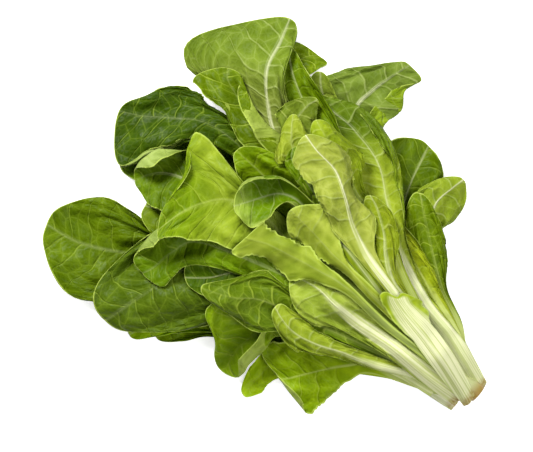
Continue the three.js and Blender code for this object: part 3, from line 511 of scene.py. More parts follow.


def lay_leaf(
    name, green, face, thick, cap, dish, ruffle, rows, crisp=0.5, ridge=1.0, white=45, core=6,
    pith=(206, 216, 136), upper=None, back=None, young=None, edge=None, tip=None
):
    """Grows one leaf from its rows, which cross it from left to right, lays it on the pile and dresses it.
    green is its kind and face the side that is up. thick is for shell, and cap, dish, ruffle and crisp are
    for middle_surface. ridge is how clearly its midrib shows. Its petiole has the colour pith up to about X =
    white, in a core that narrows from 1 + core mm to 1 mm on each side. upper and back are the colours of its
    two sides, young of the blade near the petiole, edge of its upper side's margin, partly the margin's own
    paleness and partly painted light, and tip of its far end. Only a petiole that starts at the butt shows a
    dried cut."""
    seed = 1.7 * next(numbers)
    p, s, t, m = middle_surface(rows, cap, dish, ruffle, crisp, seed)
    along, across, margin, wide = leaf_plan(p, s, t, seed)
    core_at = 1 + core * (1 - smooth(20, white + 30, p[..., 0]))
    stalk = 1 - smooth(white - PITH_FADE, white + PITH_FADE, p[..., 0])
    stalk *= 1 - smooth(0.7, 1.35, np.abs(across) / core_at)
    stalk *= 1 - smooth(0.9, 0.96, m)
    p[..., 2] += swell(along, across, wide, seed) * (1 - stalk) * (-1 if face == "back" else 1)
    sheets = lay(p, lambda lifted: shell(lifted, s, t, face, thick))
    first_x, first_y = rows[0][0][:2]
    cut = (1 - smooth(*DRIED, along)) * (first_x < BUTT) * (1 if first_y < 0 else DRIED_LEFT)
    colours = [np.array(linear(*(own or usual))) for own, usual in zip((upper, back, young), greens[green])]
    marks = {"leaf_place": [], "leaf_marks": [], "leaf_tint": [], "leaf_seed": []}
    grown = smooth(*YOUNG, m)[..., None]
    blade = smooth(10, 20, wide) + 0 * t
    for sheet in (0, 1):
        is_upper = (face == "back") == (sheet == 1)
        side = np.full_like(s, 1 if is_upper else -1)
        tint = colours[0 if is_upper else 1] * grown + colours[2] * (1 - grown)
        if tip:
            end = smooth(*FAR_END, m)[..., None]
            tint = tint * (1 - end) + np.array(linear(*tip)) * end
        # The lighter lip on the upper side's margin: partly the margin's own paleness and partly painted
        # light.
        if edge and is_upper:
            pale_and_lit_lip = smooth(*PALE_AND_LIT_LIP, np.maximum(np.abs(t), m))[..., None]
            tint = tint * (1 - pale_and_lit_lip) + np.array(linear(*edge)) * pale_and_lit_lip
        tint = tint * (1 - stalk[..., None]) + np.array(linear(*pith)) * stalk[..., None]
        width = (0.5 + 1.3 * (1 - m) ** 1.5) if is_upper else (0.5 + 2.7 * (1 - m) ** 2)
        rib = ridge * (1 - smooth(0.5, 1.3, np.abs(across) / width)) * (1 - 0.35 * m)
        pale = np.maximum(rib * (0.75 if is_upper else 0.95), 0.8 * stalk)
        marks["leaf_place"].append(np.stack([along, across, side], axis=-1))
        marks["leaf_marks"].append(np.stack([pale, margin, cut], axis=-1))
        marks["leaf_tint"].append(np.concatenate([tint, np.ones_like(s)[..., None]], axis=-1))
        marks["leaf_seed"].append(np.stack([np.full_like(s, seed), blade, 0 * s], axis=-1))
    for key, (upper_part, lower_part) in marks.items():
        columns = upper_part.shape[-1]
        marks[key] = np.concatenate([upper_part.reshape(-1, columns), lower_part.reshape(-1, columns)])
    piece = closed_mesh(name + ".leaf", sheets, marks)
    piece.data.materials.append(materials["leaf_" + green])
    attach(piece, "root")
    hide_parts(name)


lay_leaf(
    "outer_leaf_1", "fresh", "upper", thick=1.3, cap=0.45, dish=5, ruffle=(1.5, 3, 0),
    rows=[
        [(40, 18.5), (40, 16), (40, 13.5)],
        [(62, 33), (64, 27), (66, 21)],
        [(104, 58), (112, 48), (120, 38)],
        [(144, 78), (150, 69), (158, 58)],
        [(154, 93), (166, 86), (180, 76)],
        [(160, 103), (173, 101), (188, 92)],
    ],
)
lay_leaf(
    "outer_leaf_2", "dark", "upper", thick=1.3, cap=0.45, dish=4, ruffle=(1.5, 3, 1),
    upper=(146, 183, 7), young=(168, 199, 28),
    rows=[
        [(44, 16.1), (44, 13.5), (44, 10.9)],
        [(80, 34), (82, 28), (84, 22)],
        [(126, 60), (134, 50), (142, 42)],
        [(154, 82), (164, 72), (176, 60)],
        [(168, 100), (178, 92), (194, 82)],
        [(174, 112), (186, 111), (202, 102)],
    ],
)
lay_leaf(
    "outer_leaf_3", "dark", "upper", thick=2, cap=0.38, dish=7, ruffle=(2.5, 4, 0.5), crisp=1.1, ridge=0.28,
    upper=(85, 109, 2), young=(122, 146, 15),
    rows=[
        [(2, 10.2, 3), (2, 7, 3), (2, 3.8, 3)],
        [(60, 17), (60, 12), (60, 7)],
        [(120, 40), (124, 31), (128, 22)],
        [(170, 70), (178, 50), (186, 37)],
        [(200, 99), (212, 68), (218, 48)],
        [(226, 124), (245, 86), (256, 45)],
        [(258, 124), (270.5, 91), (279, 61)],
    ],
)
lay_leaf(
    "outer_leaf_4", "dark", "upper", thick=2, cap=0.4, dish=7, ruffle=(2.5, 4, 2), crisp=1.1, ridge=0.28,
    white=70, core=26, pith=(255, 255, 225), upper=(76, 99, 10), young=(115, 138, 31),
    rows=[
        [(1, 17.2, 3), (1, 14, 3), (1, 10.8, 3)],
        [(60, 26), (60, 21), (60, 16)],
        [(112, 46), (118, 36), (124, 26)],
        [(146, 58), (160, 42), (178, 28)],
        [(151, 76), (186, 58), (213, 44)],
        [(158, 95), (195, 84), (230, 76)],
        [(170, 112), (203, 113), (246, 108)],
    ],
)
lay_leaf(
    "outer_leaf_5", "pale", "back", thick=2, cap=0.2, dish=-4, ruffle=(1.5, 3, 0), crisp=0.7,
    back=(108, 130, 39), young=(141, 159, 59),
    rows=[
        [(34, -10), (34, -11.5), (34, -13), (34, -14.5), (34, -16)],
        [(66, -22), (66, -24.5), (66, -27), (66, -29.5), (66, -32)],
        [(120, -40), (118, -46), (114, -52), (108, -57), (107, -58, 1)],
        [(170, -62), (162, -66), (152, -72), (138, -76, 1), (140, -77, 6)],
        [(196, -84), (182, -86), (168, -89), (148, -92, 2), (159, -91, 9)],
        [(192, -100), (180, -102), (168, -104), (146, -107, 2), (158, -106, 9)],
        [(178, -118), (172, -119), (164, -120), (152, -118, 2), (158, -117, 7)],
        [(169, -131), (165, -132), (160, -132), (147, -131.5, 1), (153, -128, 5)],
    ],
)
lay_leaf(
    "outer_leaf_6", "fresh", "upper", thick=1.3, cap=0.25, dish=4, ruffle=(1.5, 3, 1), ridge=0.5,
    upper=(102, 126, 2), young=(131, 152, 20),
    rows=[
        [(36, -7.4), (36, -10), (36, -12.6)],
        [(88, -16), (88, -21), (88, -26)],
        [(150, -36), (148, -44), (144, -52)],
        [(200, -54), (194, -64), (186, -72)],
        [(226, -74), (214, -80), (204, -82)],
        [(232, -92), (214, -92), (200, -93)],
        [(226, -102), (208, -100), (190, -104)],
    ],
)
lay_leaf(
    "outer_leaf_7", "dark", "upper", thick=1.3, cap=0.4, dish=4, ruffle=(1, 3, 0),
    upper=(112, 131, 34), young=(145, 164, 56),
    rows=[
        [(42, -15.4), (42, -18), (42, -20.6)],
        [(88, -28), (88, -33), (88, -38)],
        [(140, -48), (138, -56), (134, -64)],
        [(178, -62), (172, -72), (166, -80)],
        [(200, -76), (192, -84), (184, -90)],
        [(208, -86), (200, -92), (192, -96)],
    ],
)
lay_leaf(
    "outer_leaf_8", "dark", "upper", thick=1.3, cap=0.35, dish=5, ruffle=(1.5, 3, 0),
    upper=(93, 115, 5), young=(127, 152, 24),
    rows=[
        [(36, 9.6), (36, 7), (36, 4.4)],
        [(80, 15), (80, 10), (80, 5)],
        [(140, 32), (144, 22), (150, 10)],
        [(184, 52), (190, 32), (198, 14)],
        [(208, 56), (214, 36), (222, 14)],
        [(228, 60), (230, 42), (236, 20)],
    ],
)
lay_leaf(
    "outer_leaf_9", "dark", "upper", thick=1.3, cap=0.3, dish=5, ruffle=(1.5, 3, 2),
    rows=[
        [(40, 2.6), (40, 0), (40, -2.6)],
        [(88, 6), (88, 1), (88, -4)],
        [(150, 12), (152, 3), (154, -8)],
        [(205, 20), (206, 0), (208, -30)],
        [(228, 36), (238, 12), (240, -20)],
        [(240, 38), (258, 34), (268, 20)],
    ],
)
# Its upper side is painted darker than the other dark leaves' upper sides: painted shade.
lay_leaf(
    "outer_leaf_10", "dark", "upper", thick=2, cap=0.3, dish=2, ruffle=(2, 4, 1), crisp=1.4, ridge=0.25,
    upper=(55, 80, 1), young=(96, 123, 5),
    rows=[
        [(48, 2), (48, 0.5), (48, -1), (48, -2.5), (48, -4)],
        [(88, 0), (88, -2.5), (88, -5), (88, -7.5), (88, -10)],
        [(160, -6), (159, -7), (162, -14), (164, -20), (165, -24)],
        [(205, -16, 5), (202, -18, 2), (206, -24), (209, -28), (212, -33)],
        [(232, -10, 9), (229, -12, 4), (234, -22), (236, -28), (238, -33)],
        [(247, 8, 9), (243.5, 8, 4), (254, -10), (258, -20), (260, -31)],
        [(256, 22, 8), (252, 24, 3), (268, 0), (269, -14), (270, -28)],
        [(261, 31, 4), (263, 36, 1), (281.5, 7), (275, -12.5), (275.5, -28.5)],
    ],
)
lay_leaf(
    "middle_leaf_1", "dark", "upper", thick=1.3, cap=0.2, dish=3, ruffle=(1, 3, 0),
    upper=(88, 116, 4), young=(124, 153, 17),
    rows=[
        [(44, 6.6), (44, 5.3), (44, 4), (44, 2.7), (44, 1.4)],
        [(96, 10), (96, 7.5), (96, 5), (96, 2.5), (96, 0)],
        [(160, 20), (160, 15), (161, 8), (162, 0), (162, -4)],
        [(205, 34, 4), (208, 24, 2), (213, 12), (220, 0, 2), (224, -4, 4)],
        [(222, 38, 5), (226, 29, 2), (232, 18), (243, 8, 3), (238, 10, 8)],
        [(231, 40, 5), (236, 33, 2), (241, 27), (249, 20, 4), (241, 22, 9)],
        [(238, 40, 3), (242, 37, 2), (245, 34), (249, 30, 3), (243, 30, 6)],
    ],
)
lay_leaf(
    "outer_leaf_11", "dark", "upper", thick=1.6, cap=0.35, dish=5, ruffle=(2, 4, 0),
    upper=(81, 105, 1), young=(120, 143, 11),
    rows=[
        [(16, -11, 4), (16, -14, 4), (16, -17, 4)],
        [(50, -20), (50, -24), (50, -28)],
        [(84, -38), (82, -44), (80, -50)],
        [(116, -52), (104, -58), (92, -64)],
        [(134, -70), (112, -76), (94, -78)],
        [(144, -88), (116, -92), (94, -92)],
        [(136, -103), (118, -101), (100, -100)],
    ],
)
lay_leaf(
    "outer_leaf_12", "pale", "back", thick=1.6, cap=0.35, dish=-3, ruffle=(1.5, 4, 0),
    white=60, core=14, pith=(255, 255, 246), back=(131, 152, 31), young=(158, 175, 53),
    rows=[
        [(-4, -4.5), (-4, -7.5), (-3, -10.5)],
        [(20, -14), (20, -17.5), (20, -20.8)],
        [(44, -24.5), (44, -28.5), (44, -32.3)],
        [(70, -42), (67, -46), (64, -50)],
        [(94, -58), (86, -62), (78, -64)],
        [(106, -72), (92, -76), (74, -76)],
        [(104, -88), (90, -90), (74, -90)],
        [(97, -99), (88, -98.5), (80, -98)],
    ],
)


# ---- The stem ------------------------------------------------------------------------------------------
# The short pale stem that every leaf grows from, cut square at the butt, where it has dried brown. It is at
# the height of its solid. No leaf is laid clear of it, and middle_leaf_4's petiole runs a little into it.

# stem_outline gives the radius and the way in from the cut face, point by point along its side. The line
# through them is turned about the stem's axis, with RIBS low ribs of RIBBING times its radius wound round it.
RIBS = 5
RIBBING = 0.02
stem_outline = np.array([[0, 0], [5.4, 0], [6, 1.5], [5.6, 8], [4, 20], [2.4, 28], [0, 34]])
stem_rest = (stem_low[2] + stem_high[2]) / 2
stem_at = np.linspace(0, 1, 60)[:, None]
stem_turn = np.linspace(0, 2 * math.pi, 48, endpoint=False)[None, :]
stem_reach = np.linspace(0, 1, len(stem_outline))
stem_radius = np.interp(stem_at, stem_reach, stem_outline[:, 0])
stem_radius = stem_radius * (1 + RIBBING * np.sin(RIBS * stem_turn + 4 * stem_at))
stem_along = np.interp(stem_at, stem_reach, stem_outline[:, 1]) + 0 * stem_turn
stem_across = STEM_AXIS + stem_radius * np.cos(stem_turn)
stem_up = stem_rest + stem_radius * np.sin(stem_turn)
stem_points = np.stack([stem_along + STEM_BUTT, stem_across, stem_up], axis=-1)
stem_index = np.arange(stem_points[..., 0].size).reshape(stem_points.shape[:2])
stem_next = np.roll(stem_index, -1, axis=1)
stem_faces = np.stack([stem_index[:-1], stem_index[1:], stem_next[1:], stem_next[:-1]], axis=-1)
next(numbers)  # the stem takes a number too
stem_mesh = bpy.data.meshes.new("stem_core.stem")
stem_mesh.from_pydata(
    ((stem_points + to_frame) / 1000).reshape(-1, 3).tolist(), [], stem_faces.reshape(-1, 4).tolist()
)
stem_mesh.shade_smooth()
stem_values = np.stack([stem_along, 0 * stem_along, 0 * stem_along], axis=-1)
stem_marks = stem_mesh.attributes.new("stem_place", "FLOAT_VECTOR", "POINT")
stem_marks.data.foreach_set("vector", stem_values.ravel())
stem_piece = bpy.data.objects.new("stem_core.stem", stem_mesh)
bpy.context.scene.collection.objects.link(stem_piece)

# Pale green tissue with fibres drawn out along X, which dries brown within some 10 mm of the cut. Its
# yellow-green is darker than the stem's own pale colour: partly the tissue's colour and partly painted shade
# of the crevice between the petioles.
stem_material = bpy.data.materials.new("stem_white")
stem_material.use_nodes = True
tree = stem_material.node_tree
tree.nodes.clear()
_, (stem_x, _, _) = attribute(tree, "stem_place")
object_place = node(tree, "TexCoord").outputs["Object"]
stretched = node(tree, "VectorMath", {0: object_place, 1: (60, 700, 700)}, operation="MULTIPLY").outputs[0]
stem_fibre = cloud(tree, stretched, 1).outputs["Fac"]
stem_dried = fade(tree, maths(tree, "MULTIPLY_ADD", stem_fibre, -2.0, stem_x), 0.0, 8.0, 1.0, 0.0)
stem_colour = blend(tree, stem_fibre, (0.46, 0.50, 0.20, 1), (0.62, 0.64, 0.34, 1))
stem_colour = blend(tree, stem_dried, stem_colour, (0.34, 0.22, 0.04, 1))
stem_bump = node(tree, "Bump", {"Strength": 0.5, "Distance": 0.0006, "Height": stem_fibre}).outputs[0]
stem_inputs = {"Base Color": stem_colour, "Roughness": 0.45, "IOR": 1.42, "Normal": stem_bump}
stem_skin = node(tree, "BsdfPrincipled", stem_inputs)
node(tree, "OutputMaterial", {0: stem_skin.outputs[0]})
stem_mesh.materials.append(stem_material)
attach(stem_piece, "root")
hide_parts("stem_core")


# ---- The middle leaves ---------------------------------------------------------------------------------
# The full-grown leaves over the outer ones, some of them seen from the back. Each grows from the stem by a
# pale petiole; those deep in the pile start where they come out from under the rest. The last, inner_leaf_1,
# is the bright leaf with a raised nose that lies over this group.

lay_leaf(
    "middle_leaf_2", "fresh", "upper", thick=1.6, cap=0.35, dish=3, ruffle=(1.5, 5, 0), crisp=1.5,
    white=36, upper=(97, 122, 2), young=(126, 149, 21),
    rows=[
        [(22, -16.3), (22, -18.5), (22, -20.7)],
        [(34, -24), (34, -27), (33, -29.5)],
        [(60, -34), (57, -38), (54, -40)],
        [(86, -46), (76, -52), (66, -56)],
        [(104, -56), (92, -64), (80, -68)],
        [(114, -68), (104, -74), (94, -77)],
    ],
)
lay_leaf(
    "middle_leaf_3", "fresh", "upper", thick=2, cap=0.3, dish=2, ruffle=(1.2, 5, 0), crisp=1.5,
    white=48, upper=(155, 171, 25), young=(168, 183, 45),
    rows=[
        [(20, -12.5), (20, -15), (20, -17.5)],
        [(30, -18.5), (30, -21), (30, -24)],
        [(55, -25), (54, -29), (52, -34)],
        [(76, -30), (75, -37), (73, -45)],
        [(98, -36), (97, -43), (94, -52)],
        [(116, -42), (114, -50), (110, -56)],
    ],
)
# The darker colour of its far end, tip, is painted shade.
lay_leaf(
    "middle_leaf_4", "pale", "back", thick=3, cap=0.25, dish=-3, ruffle=(2, 4, 0), crisp=1.1, ridge=0.5,
    white=92, core=10, pith=(204, 214, 140), back=(143, 162, 34), young=(166, 181, 55), tip=(92, 117, 14),
    rows=[
        [(-4, -2), (-4, -4), (-4, -6.5), (-4, -9), (-4, -11)],
        [(20, -8), (20, -11), (20, -14), (20, -17), (20, -19.6)],
        [(36, -13), (36, -16), (36, -19), (36, -21.5), (36, -23.5)],
        [(62, -18), (62, -21), (62, -24.5), (62, -28), (62, -30.5)],
        [(90, -26), (90, -31), (90, -36), (91, -43), (91, -45, 1)],
        [(124, -40), (120, -48), (114, -56), (108, -62, 1), (110, -62, 6)],
        [(156, -54), (146, -62), (136, -72), (126, -80, 1), (131, -77, 8)],
        [(180, -62), (170, -69), (160, -78), (148, -90, 1), (155, -85, 9)],
        [(192, -66), (186, -72), (178, -78), (168, -91, 1), (173, -84, 9)],
        [(200, -72), (197, -76), (194, -80), (184, -84, 1), (185, -81, 6)],
    ],
)
lay_leaf(
    "middle_leaf_5", "dark", "upper", thick=1.3, cap=0.3, dish=3, ruffle=(1.5, 3, 0),
    upper=(97, 123, 3), young=(132, 157, 21),
    rows=[
        [(38, -5.4), (38, -8), (38, -10.6)],
        [(60, -8), (60, -12), (60, -16)],
        [(100, -18), (98, -23), (96, -28)],
        [(140, -36), (138, -45), (134, -54)],
        [(180, -48), (172, -60), (164, -70)],
        [(204, -58), (194, -70), (184, -80)],
        [(220, -72), (212, -80), (204, -88)],
        [(232, -88), (226, -92), (220, -98)],
    ],
)
lay_leaf(
    "middle_leaf_6", "pale", "back", thick=2, cap=0.4, dish=-3, ruffle=(2, 4, 2), crisp=0.7, ridge=0.7,
    back=(121, 134, 52), young=(151, 162, 69), tip=(108, 131, 30),
    rows=[
        [(36, -3), (36, -6), (36, -9)],
        [(60, -6), (60, -10), (60, -14)],
        [(110, -14), (109, -20), (108, -27)],
        [(160, -20), (156, -31), (150, -42)],
        [(200, -30), (192, -42), (182, -52)],
        [(232, -42, 2), (212, -56, 3), (198, -63)],
        [(276, -37, 5), (226, -72, 4), (208, -69)],
        [(295, -49, 6), (231, -90, 3), (219, -84)],
        [(264, -94), (236, -106, 1), (222, -104)],
    ],
)
lay_leaf(
    "middle_leaf_7", "fresh", "upper", thick=1.3, cap=0.12, dish=1, ruffle=(1.2, 4, 0), ridge=0.3,
    upper=(89, 113, 1), young=(123, 143, 12),
    rows=[
        [(44, -1.4), (44, -2.7), (44, -4), (44, -5.3), (44, -6.6)],
        [(90, -4.5), (90, -6.75), (90, -9), (90, -11.25), (90, -13.5)],
        [(150, -12), (149, -17), (148, -22), (147, -27), (146, -29, 1)],
        [(196, -24), (195, -29), (194, -34), (189, -44, 4), (197, -33, 10)],
        [(212, -27), (210, -33), (208, -39), (203, -45, 5), (209, -37, 12)],
        [(230, -34), (228, -40), (226, -46), (216, -48, 5), (222, -42, 11)],
        [(254, -35.5), (246, -45), (240, -51), (228, -54, 3), (231, -49, 8)],
        [(268, -36.5), (255, -49), (246, -57), (237, -59, 1), (236, -55, 4)],
    ],
)
lay_leaf(
    "middle_leaf_8", "fresh", "upper", thick=1.3, cap=0.18, dish=3, ruffle=(1, 3, 0), ridge=0.5,
    upper=(152, 183, 10), young=(166, 190, 37),
    rows=[
        [(24, 17.5), (24, 15.5), (24, 13.5)],
        [(50, 30), (51, 26), (52, 22)],
        [(82, 52), (86, 46), (90, 40)],
        [(96, 70), (104, 64), (112, 58)],
        [(99, 84), (107, 80), (115, 76)],
        [(101, 95), (107, 94), (114, 92)],
    ],
)
lay_leaf(
    "middle_leaf_9", "fresh", "upper", thick=2, cap=0.05, dish=3, ruffle=(1.5, 3, 0), crisp=1.0, ridge=0.8,
    upper=(131, 160, 4), young=(151, 175, 24),
    rows=[
        [(14, 15), (14, 12.5), (14, 10)],
        [(28, 20.5), (28, 18), (29, 14.5)],
        [(56, 32), (57, 25), (59, 18)],
        [(63, 44), (71, 38), (80, 28)],
        [(65, 60, 3), (82, 52), (98, 38)],
        [(70, 76, 8), (94, 69, 5), (114, 57, 2)],
        [(75, 71, 13), (98, 70, 10), (117, 68, 5)],
    ],
)
lay_leaf(
    "middle_leaf_10", "dark", "upper", thick=1.3, cap=0.4, dish=6, ruffle=(2, 4, 0),
    upper=(74, 104, 2), young=(113, 141, 13),
    rows=[
        [(44, 14.6), (44, 12), (44, 9.4)],
        [(88, 20), (88, 15), (88, 10)],
        [(130, 32), (132, 24), (134, 16)],
        [(150, 46), (158, 36), (168, 24)],
        [(158, 60), (170, 50), (188, 36)],
        [(166, 68), (182, 60), (196, 46)],
    ],
)
lay_leaf(
    "middle_leaf_11", "dark", "upper", thick=1.3, cap=0.2, dish=2, ruffle=(1.5, 3, 0), ridge=0.35,
    upper=(93, 123, 3), young=(127, 158, 15),
    rows=[
        [(48, 9.6), (48, 8.3), (48, 7), (48, 5.7), (48, 4.4)],
        [(98, 15), (98, 12.5), (98, 10), (98, 7.5), (98, 5)],
        [(150, 34), (152, 29), (153, 24), (155, 18), (156, 13)],
        [(180, 48, 5), (184, 44, 2), (190, 38), (204, 30, 3), (200, 33, 6)],
        [(188, 62, 6), (192, 60, 3), (198, 54), (213, 46, 4), (208, 50, 9)],
        [(188, 73, 5), (194, 71, 3), (201, 68), (215, 60, 4), (209, 58, 9)],
        [(190, 77, 3), (198, 76, 2), (204, 75), (214, 73, 2), (211, 67, 5)],
    ],
)
lay_leaf(
    "middle_leaf_12", "fresh", "upper", thick=1.4, cap=0.25, dish=3, ruffle=(1.5, 3, 1), ridge=0.4,
    white=62, core=12, pith=(250, 254, 200), upper=(122, 152, 8), young=(140, 166, 24),
    rows=[
        [(18, 18.6), (18, 17.3), (18, 16), (18, 14.7), (18, 13.4)],
        [(50, 25), (50, 23.25), (50, 21.5), (50, 19.75), (50, 18)],
        [(90, 43), (89, 41), (92, 37), (95, 32), (97, 28)],
        [(122, 48, 9), (114, 50, 4), (122, 44), (134, 42, 3), (146, 40, 5)],
        [(123, 62, 10), (115.5, 62, 5), (126, 60), (142, 56, 4), (158, 52, 6)],
        [(124, 76, 10), (117, 76, 5), (128, 73), (142, 70, 4), (158, 68, 5)],
        [(124, 82, 6), (116, 82, 4), (127, 82, 1), (136, 80, 3), (146, 77, 4)],
        [(124, 88, 2), (117, 89, 2), (127, 91, 1), (136, 89, 1), (145, 86, 1)],
    ],
)
lay_leaf(
    "middle_leaf_13", "fresh", "back", thick=1.3, cap=0.4, dish=-4, ruffle=(1.5, 3, 0), crisp=0.8, ridge=0.3,
    back=(97, 122, 14), young=(107, 134, 10),
    rows=[
        [(44, 14.5), (44, 12), (44, 9.5)],
        [(80, 28), (80, 23), (80, 18)],
        [(112, 44), (116, 34), (122, 24)],
        [(128, 58), (138, 40), (146, 24)],
        [(146, 62), (152, 50), (160, 38)],
        [(166, 66), (170, 58), (174, 52)],
    ],
)
lay_leaf(
    "middle_leaf_14", "fresh", "upper", thick=1.3, cap=0.4, dish=4, ruffle=(2, 4, 0), crisp=1.2,
    upper=(118, 147, 5), young=(143, 167, 30),
    rows=[
        [(50, -2.6), (50, -5), (50, -7.4)],
        [(90, -4), (90, -8), (90, -12)],
        [(140, -8), (140, -15), (139, -22)],
        [(172, -2), (170, -18), (166, -36)],
        [(192, -2), (190, -20), (186, -38)],
        [(206, -8), (208, -21), (202, -38)],
    ],
)
lay_leaf(
    "inner_leaf_1", "fresh", "upper", thick=1.4, cap=0.1, dish=3, ruffle=(1.5, 4, 0), ridge=0.8,
    upper=(138, 160, 34), young=(150, 170, 60), tip=(118, 147, 8),
    rows=[
        [(46, 3.6), (46, 2.3), (46, 1), (46, -0.3), (46, -1.6)],
        [(90, 6), (90, 4), (90, 1), (90, -2), (90, -4)],
        [(140, 14), (141, 8), (143, 2), (145, -4), (147, -8)],
        [(166, 26, 6), (170, 14, 3), (176, -1), (182, -6, 2), (188, -8, 5)],
        [(182, 32, 6), (186, 22, 3), (193, 7), (208, -4, 4), (227, -15, 3)],
        [(196, 40, 6), (198, 30, 4), (202, 18, 1), (228, 0, 5), (234, -8, 7)],
        [(206, 48, 5), (207, 42, 3), (209, 31, 1), (222, 14, 6), (222, 8, 9)],
        [(208, 54, 2), (210, 52, 2), (213, 48, 2), (218, 40, 4), (219, 35, 6)],
    ],
)


# ---- The heart leaves ----------------------------------------------------------------------------------
# The youngest leaves, three small yellow-green ones in the middle of the head. They let more light through
# than the others, and stand between the bright leaf and the inner leaves.

materials["leaf_heart"] = leaf_material("leaf_heart", (196, 208, 108), (232, 238, 184), 0.4, 0.12, 0.18)
greens["heart"] = ((152, 176, 24), (172, 190, 68), (182, 196, 80))

lay_leaf(
    "heart_leaf_1", "heart", "back", thick=1.4, cap=0.2, dish=-1, ruffle=(1, 3, 0), crisp=1.4, ridge=0.5,
    back=(108, 128, 30), young=(138, 154, 50),
    rows=[
        [(58, -11.8), (58, -14), (58, -16.2)],
        [(100, -22), (100, -25), (100, -28)],
        [(150, -36), (148, -42), (146, -48)],
        [(184, -46), (178, -52), (172, -58)],
        [(202, -50), (191, -58), (180, -62)],
        [(202, -66), (192, -70), (184, -70)],
        [(196, -78), (190, -77), (186, -76)],
    ],
)
lay_leaf(
    "heart_leaf_2", "heart", "back", thick=1.4, cap=0.3, dish=-2, ruffle=(1, 3, 1), crisp=1, ridge=0.4,
    back=(143, 161, 38), young=(162, 176, 57),
    rows=[
        [(60, -7.8), (60, -10), (60, -12.2)],
        [(100, -16), (100, -19), (100, -22)],
        [(150, -28), (150, -33), (149, -38)],
        [(174, -38), (172, -44), (170, -50)],
        [(184, -30, 4), (182, -44), (178, -55)],
        [(195, -46), (190, -52), (184, -59)],
        [(199, -56), (195, -60), (190, -64)],
    ],
)
lay_leaf(
    "heart_leaf_3", "heart", "upper", thick=1.4, cap=0.4, dish=3, ruffle=(1, 3, 0), crisp=1, ridge=0.3,
    upper=(104, 134, 4), young=(147, 166, 44),
    rows=[
        [(62, -3.8), (62, -6), (62, -8.2)],
        [(100, -12), (100, -15), (100, -18)],
        [(148, -24), (147, -29), (146, -34)],
        [(168, -30), (167, -35), (166, -40)],
        [(179, -31), (178, -38), (176, -44)],
        [(184, -38), (182, -44), (179, -50)],
    ],
)


# ---- The inner leaves ----------------------------------------------------------------------------------
# Pale leaves with white ribs, laid on last over the middle of the head and seen from their backs. The first
# is curled into a cup; the last is a short, broad petiole at the base with a torn green fringe.

# Its upper side is painted dark green as the shade inside the cup, and its edge colour gives a lighter lip,
# partly the margin's own paleness and partly painted light.
lay_leaf(
    "inner_leaf_2", "pale", "upper", thick=1.4, cap=0.05, dish=0, ruffle=(0, 3, 0), ridge=0.4,
    white=70, upper=(96, 128, 1), young=(128, 148, 22), edge=(160, 184, 70),
    rows=[
        [(50, -0.6), (50, -1.8), (50, -3), (50, -4.2), (50, -5.4)],
        [(90, -8), (90, -9), (90, -11), (90, -13), (90, -14)],
        [(130, -15.5), (130, -17.5), (131, -20), (132, -22.5), (133, -24.5)],
        [(153, -17, 6), (152, -18.5, 3), (151, -21), (153, -24, 4), (154, -26, 9)],
        [(163, -16.5, 10), (162, -18, 4), (162, -21), (165, -26, 4), (165, -26, 12)],
        [(166, -10, 13), (168, -13, 4), (171, -17), (177, -24.5, 5), (176, -24, 15)],
        [(165.5, 0, 15), (171, -3, 5), (177, -9), (186, -17, 5), (184.5, -16.5, 17)],
        [(170, 9, 15), (177, 3, 6), (182, -1, 2), (191, -8, 8), (190, -8, 17)],
        [(181, 10.5, 13), (184, 9.5, 13), (187, 6.5, 13), (190, 2, 13), (191, -1, 13)],
    ],
)
lay_leaf(
    "inner_leaf_3", "pale", "back", thick=1.6, cap=0.04, dish=-2, ruffle=(1.2, 4, 0), crisp=1.4, ridge=0.1,
    white=48, back=(156, 172, 55), young=(146, 162, 40),
    rows=[
        [(40, 1.9), (40, -0.5), (40, -2.9)],
        [(60, -1), (60, -4), (60, -7)],
        [(88, -3), (90, -6.5), (92, -10)],
        [(106, -5), (108, -9), (112, -12)],
        [(122, -3), (124, -10), (126, -20)],
        [(136, -2), (137, -12), (138, -28)],
        [(151, 1, 1), (159, -14, 3), (147, -31, 2)],
    ],
)
lay_leaf(
    "inner_leaf_4", "pale", "back", thick=2.6, cap=0.25, dish=-2, ruffle=(1.5, 4, 0), crisp=1.4, ridge=0.5,
    white=58, back=(139, 158, 34), young=(164, 178, 55),
    rows=[
        [(18, 13.5), (18, 11), (18, 8.5)],
        [(36, 17.5), (36, 15), (36, 12.5)],
        [(58, 29), (59, 25), (61, 21)],
        [(80, 38), (82, 34), (85, 29)],
        [(94, 47), (98, 40), (104, 32)],
        [(110, 51), (113, 42), (118, 31)],
        [(128, 49), (128, 38), (128, 27)],
    ],
)
lay_leaf(
    "inner_leaf_5", "pale", "back", thick=3, cap=0.3, dish=-2, ruffle=(1.2, 4, 1), crisp=0.8,
    white=100, core=8, pith=(206, 216, 130), back=(151, 171, 55), young=(172, 188, 70),
    rows=[
        [(5, 13.5), (5, 7.6), (5, 1.4)],
        [(30, 15.8), (30, 9.4), (30, 2.6)],
        [(58, 17), (58, 9.8), (58, 2.4)],
        [(84, 22), (85, 12.5), (84, 1)],
        [(101, 29), (101, 13), (100, -1)],
        [(118, 35), (115, 12), (112, 1)],
        [(134, 32), (131, 15), (124, 4)],
    ],
)
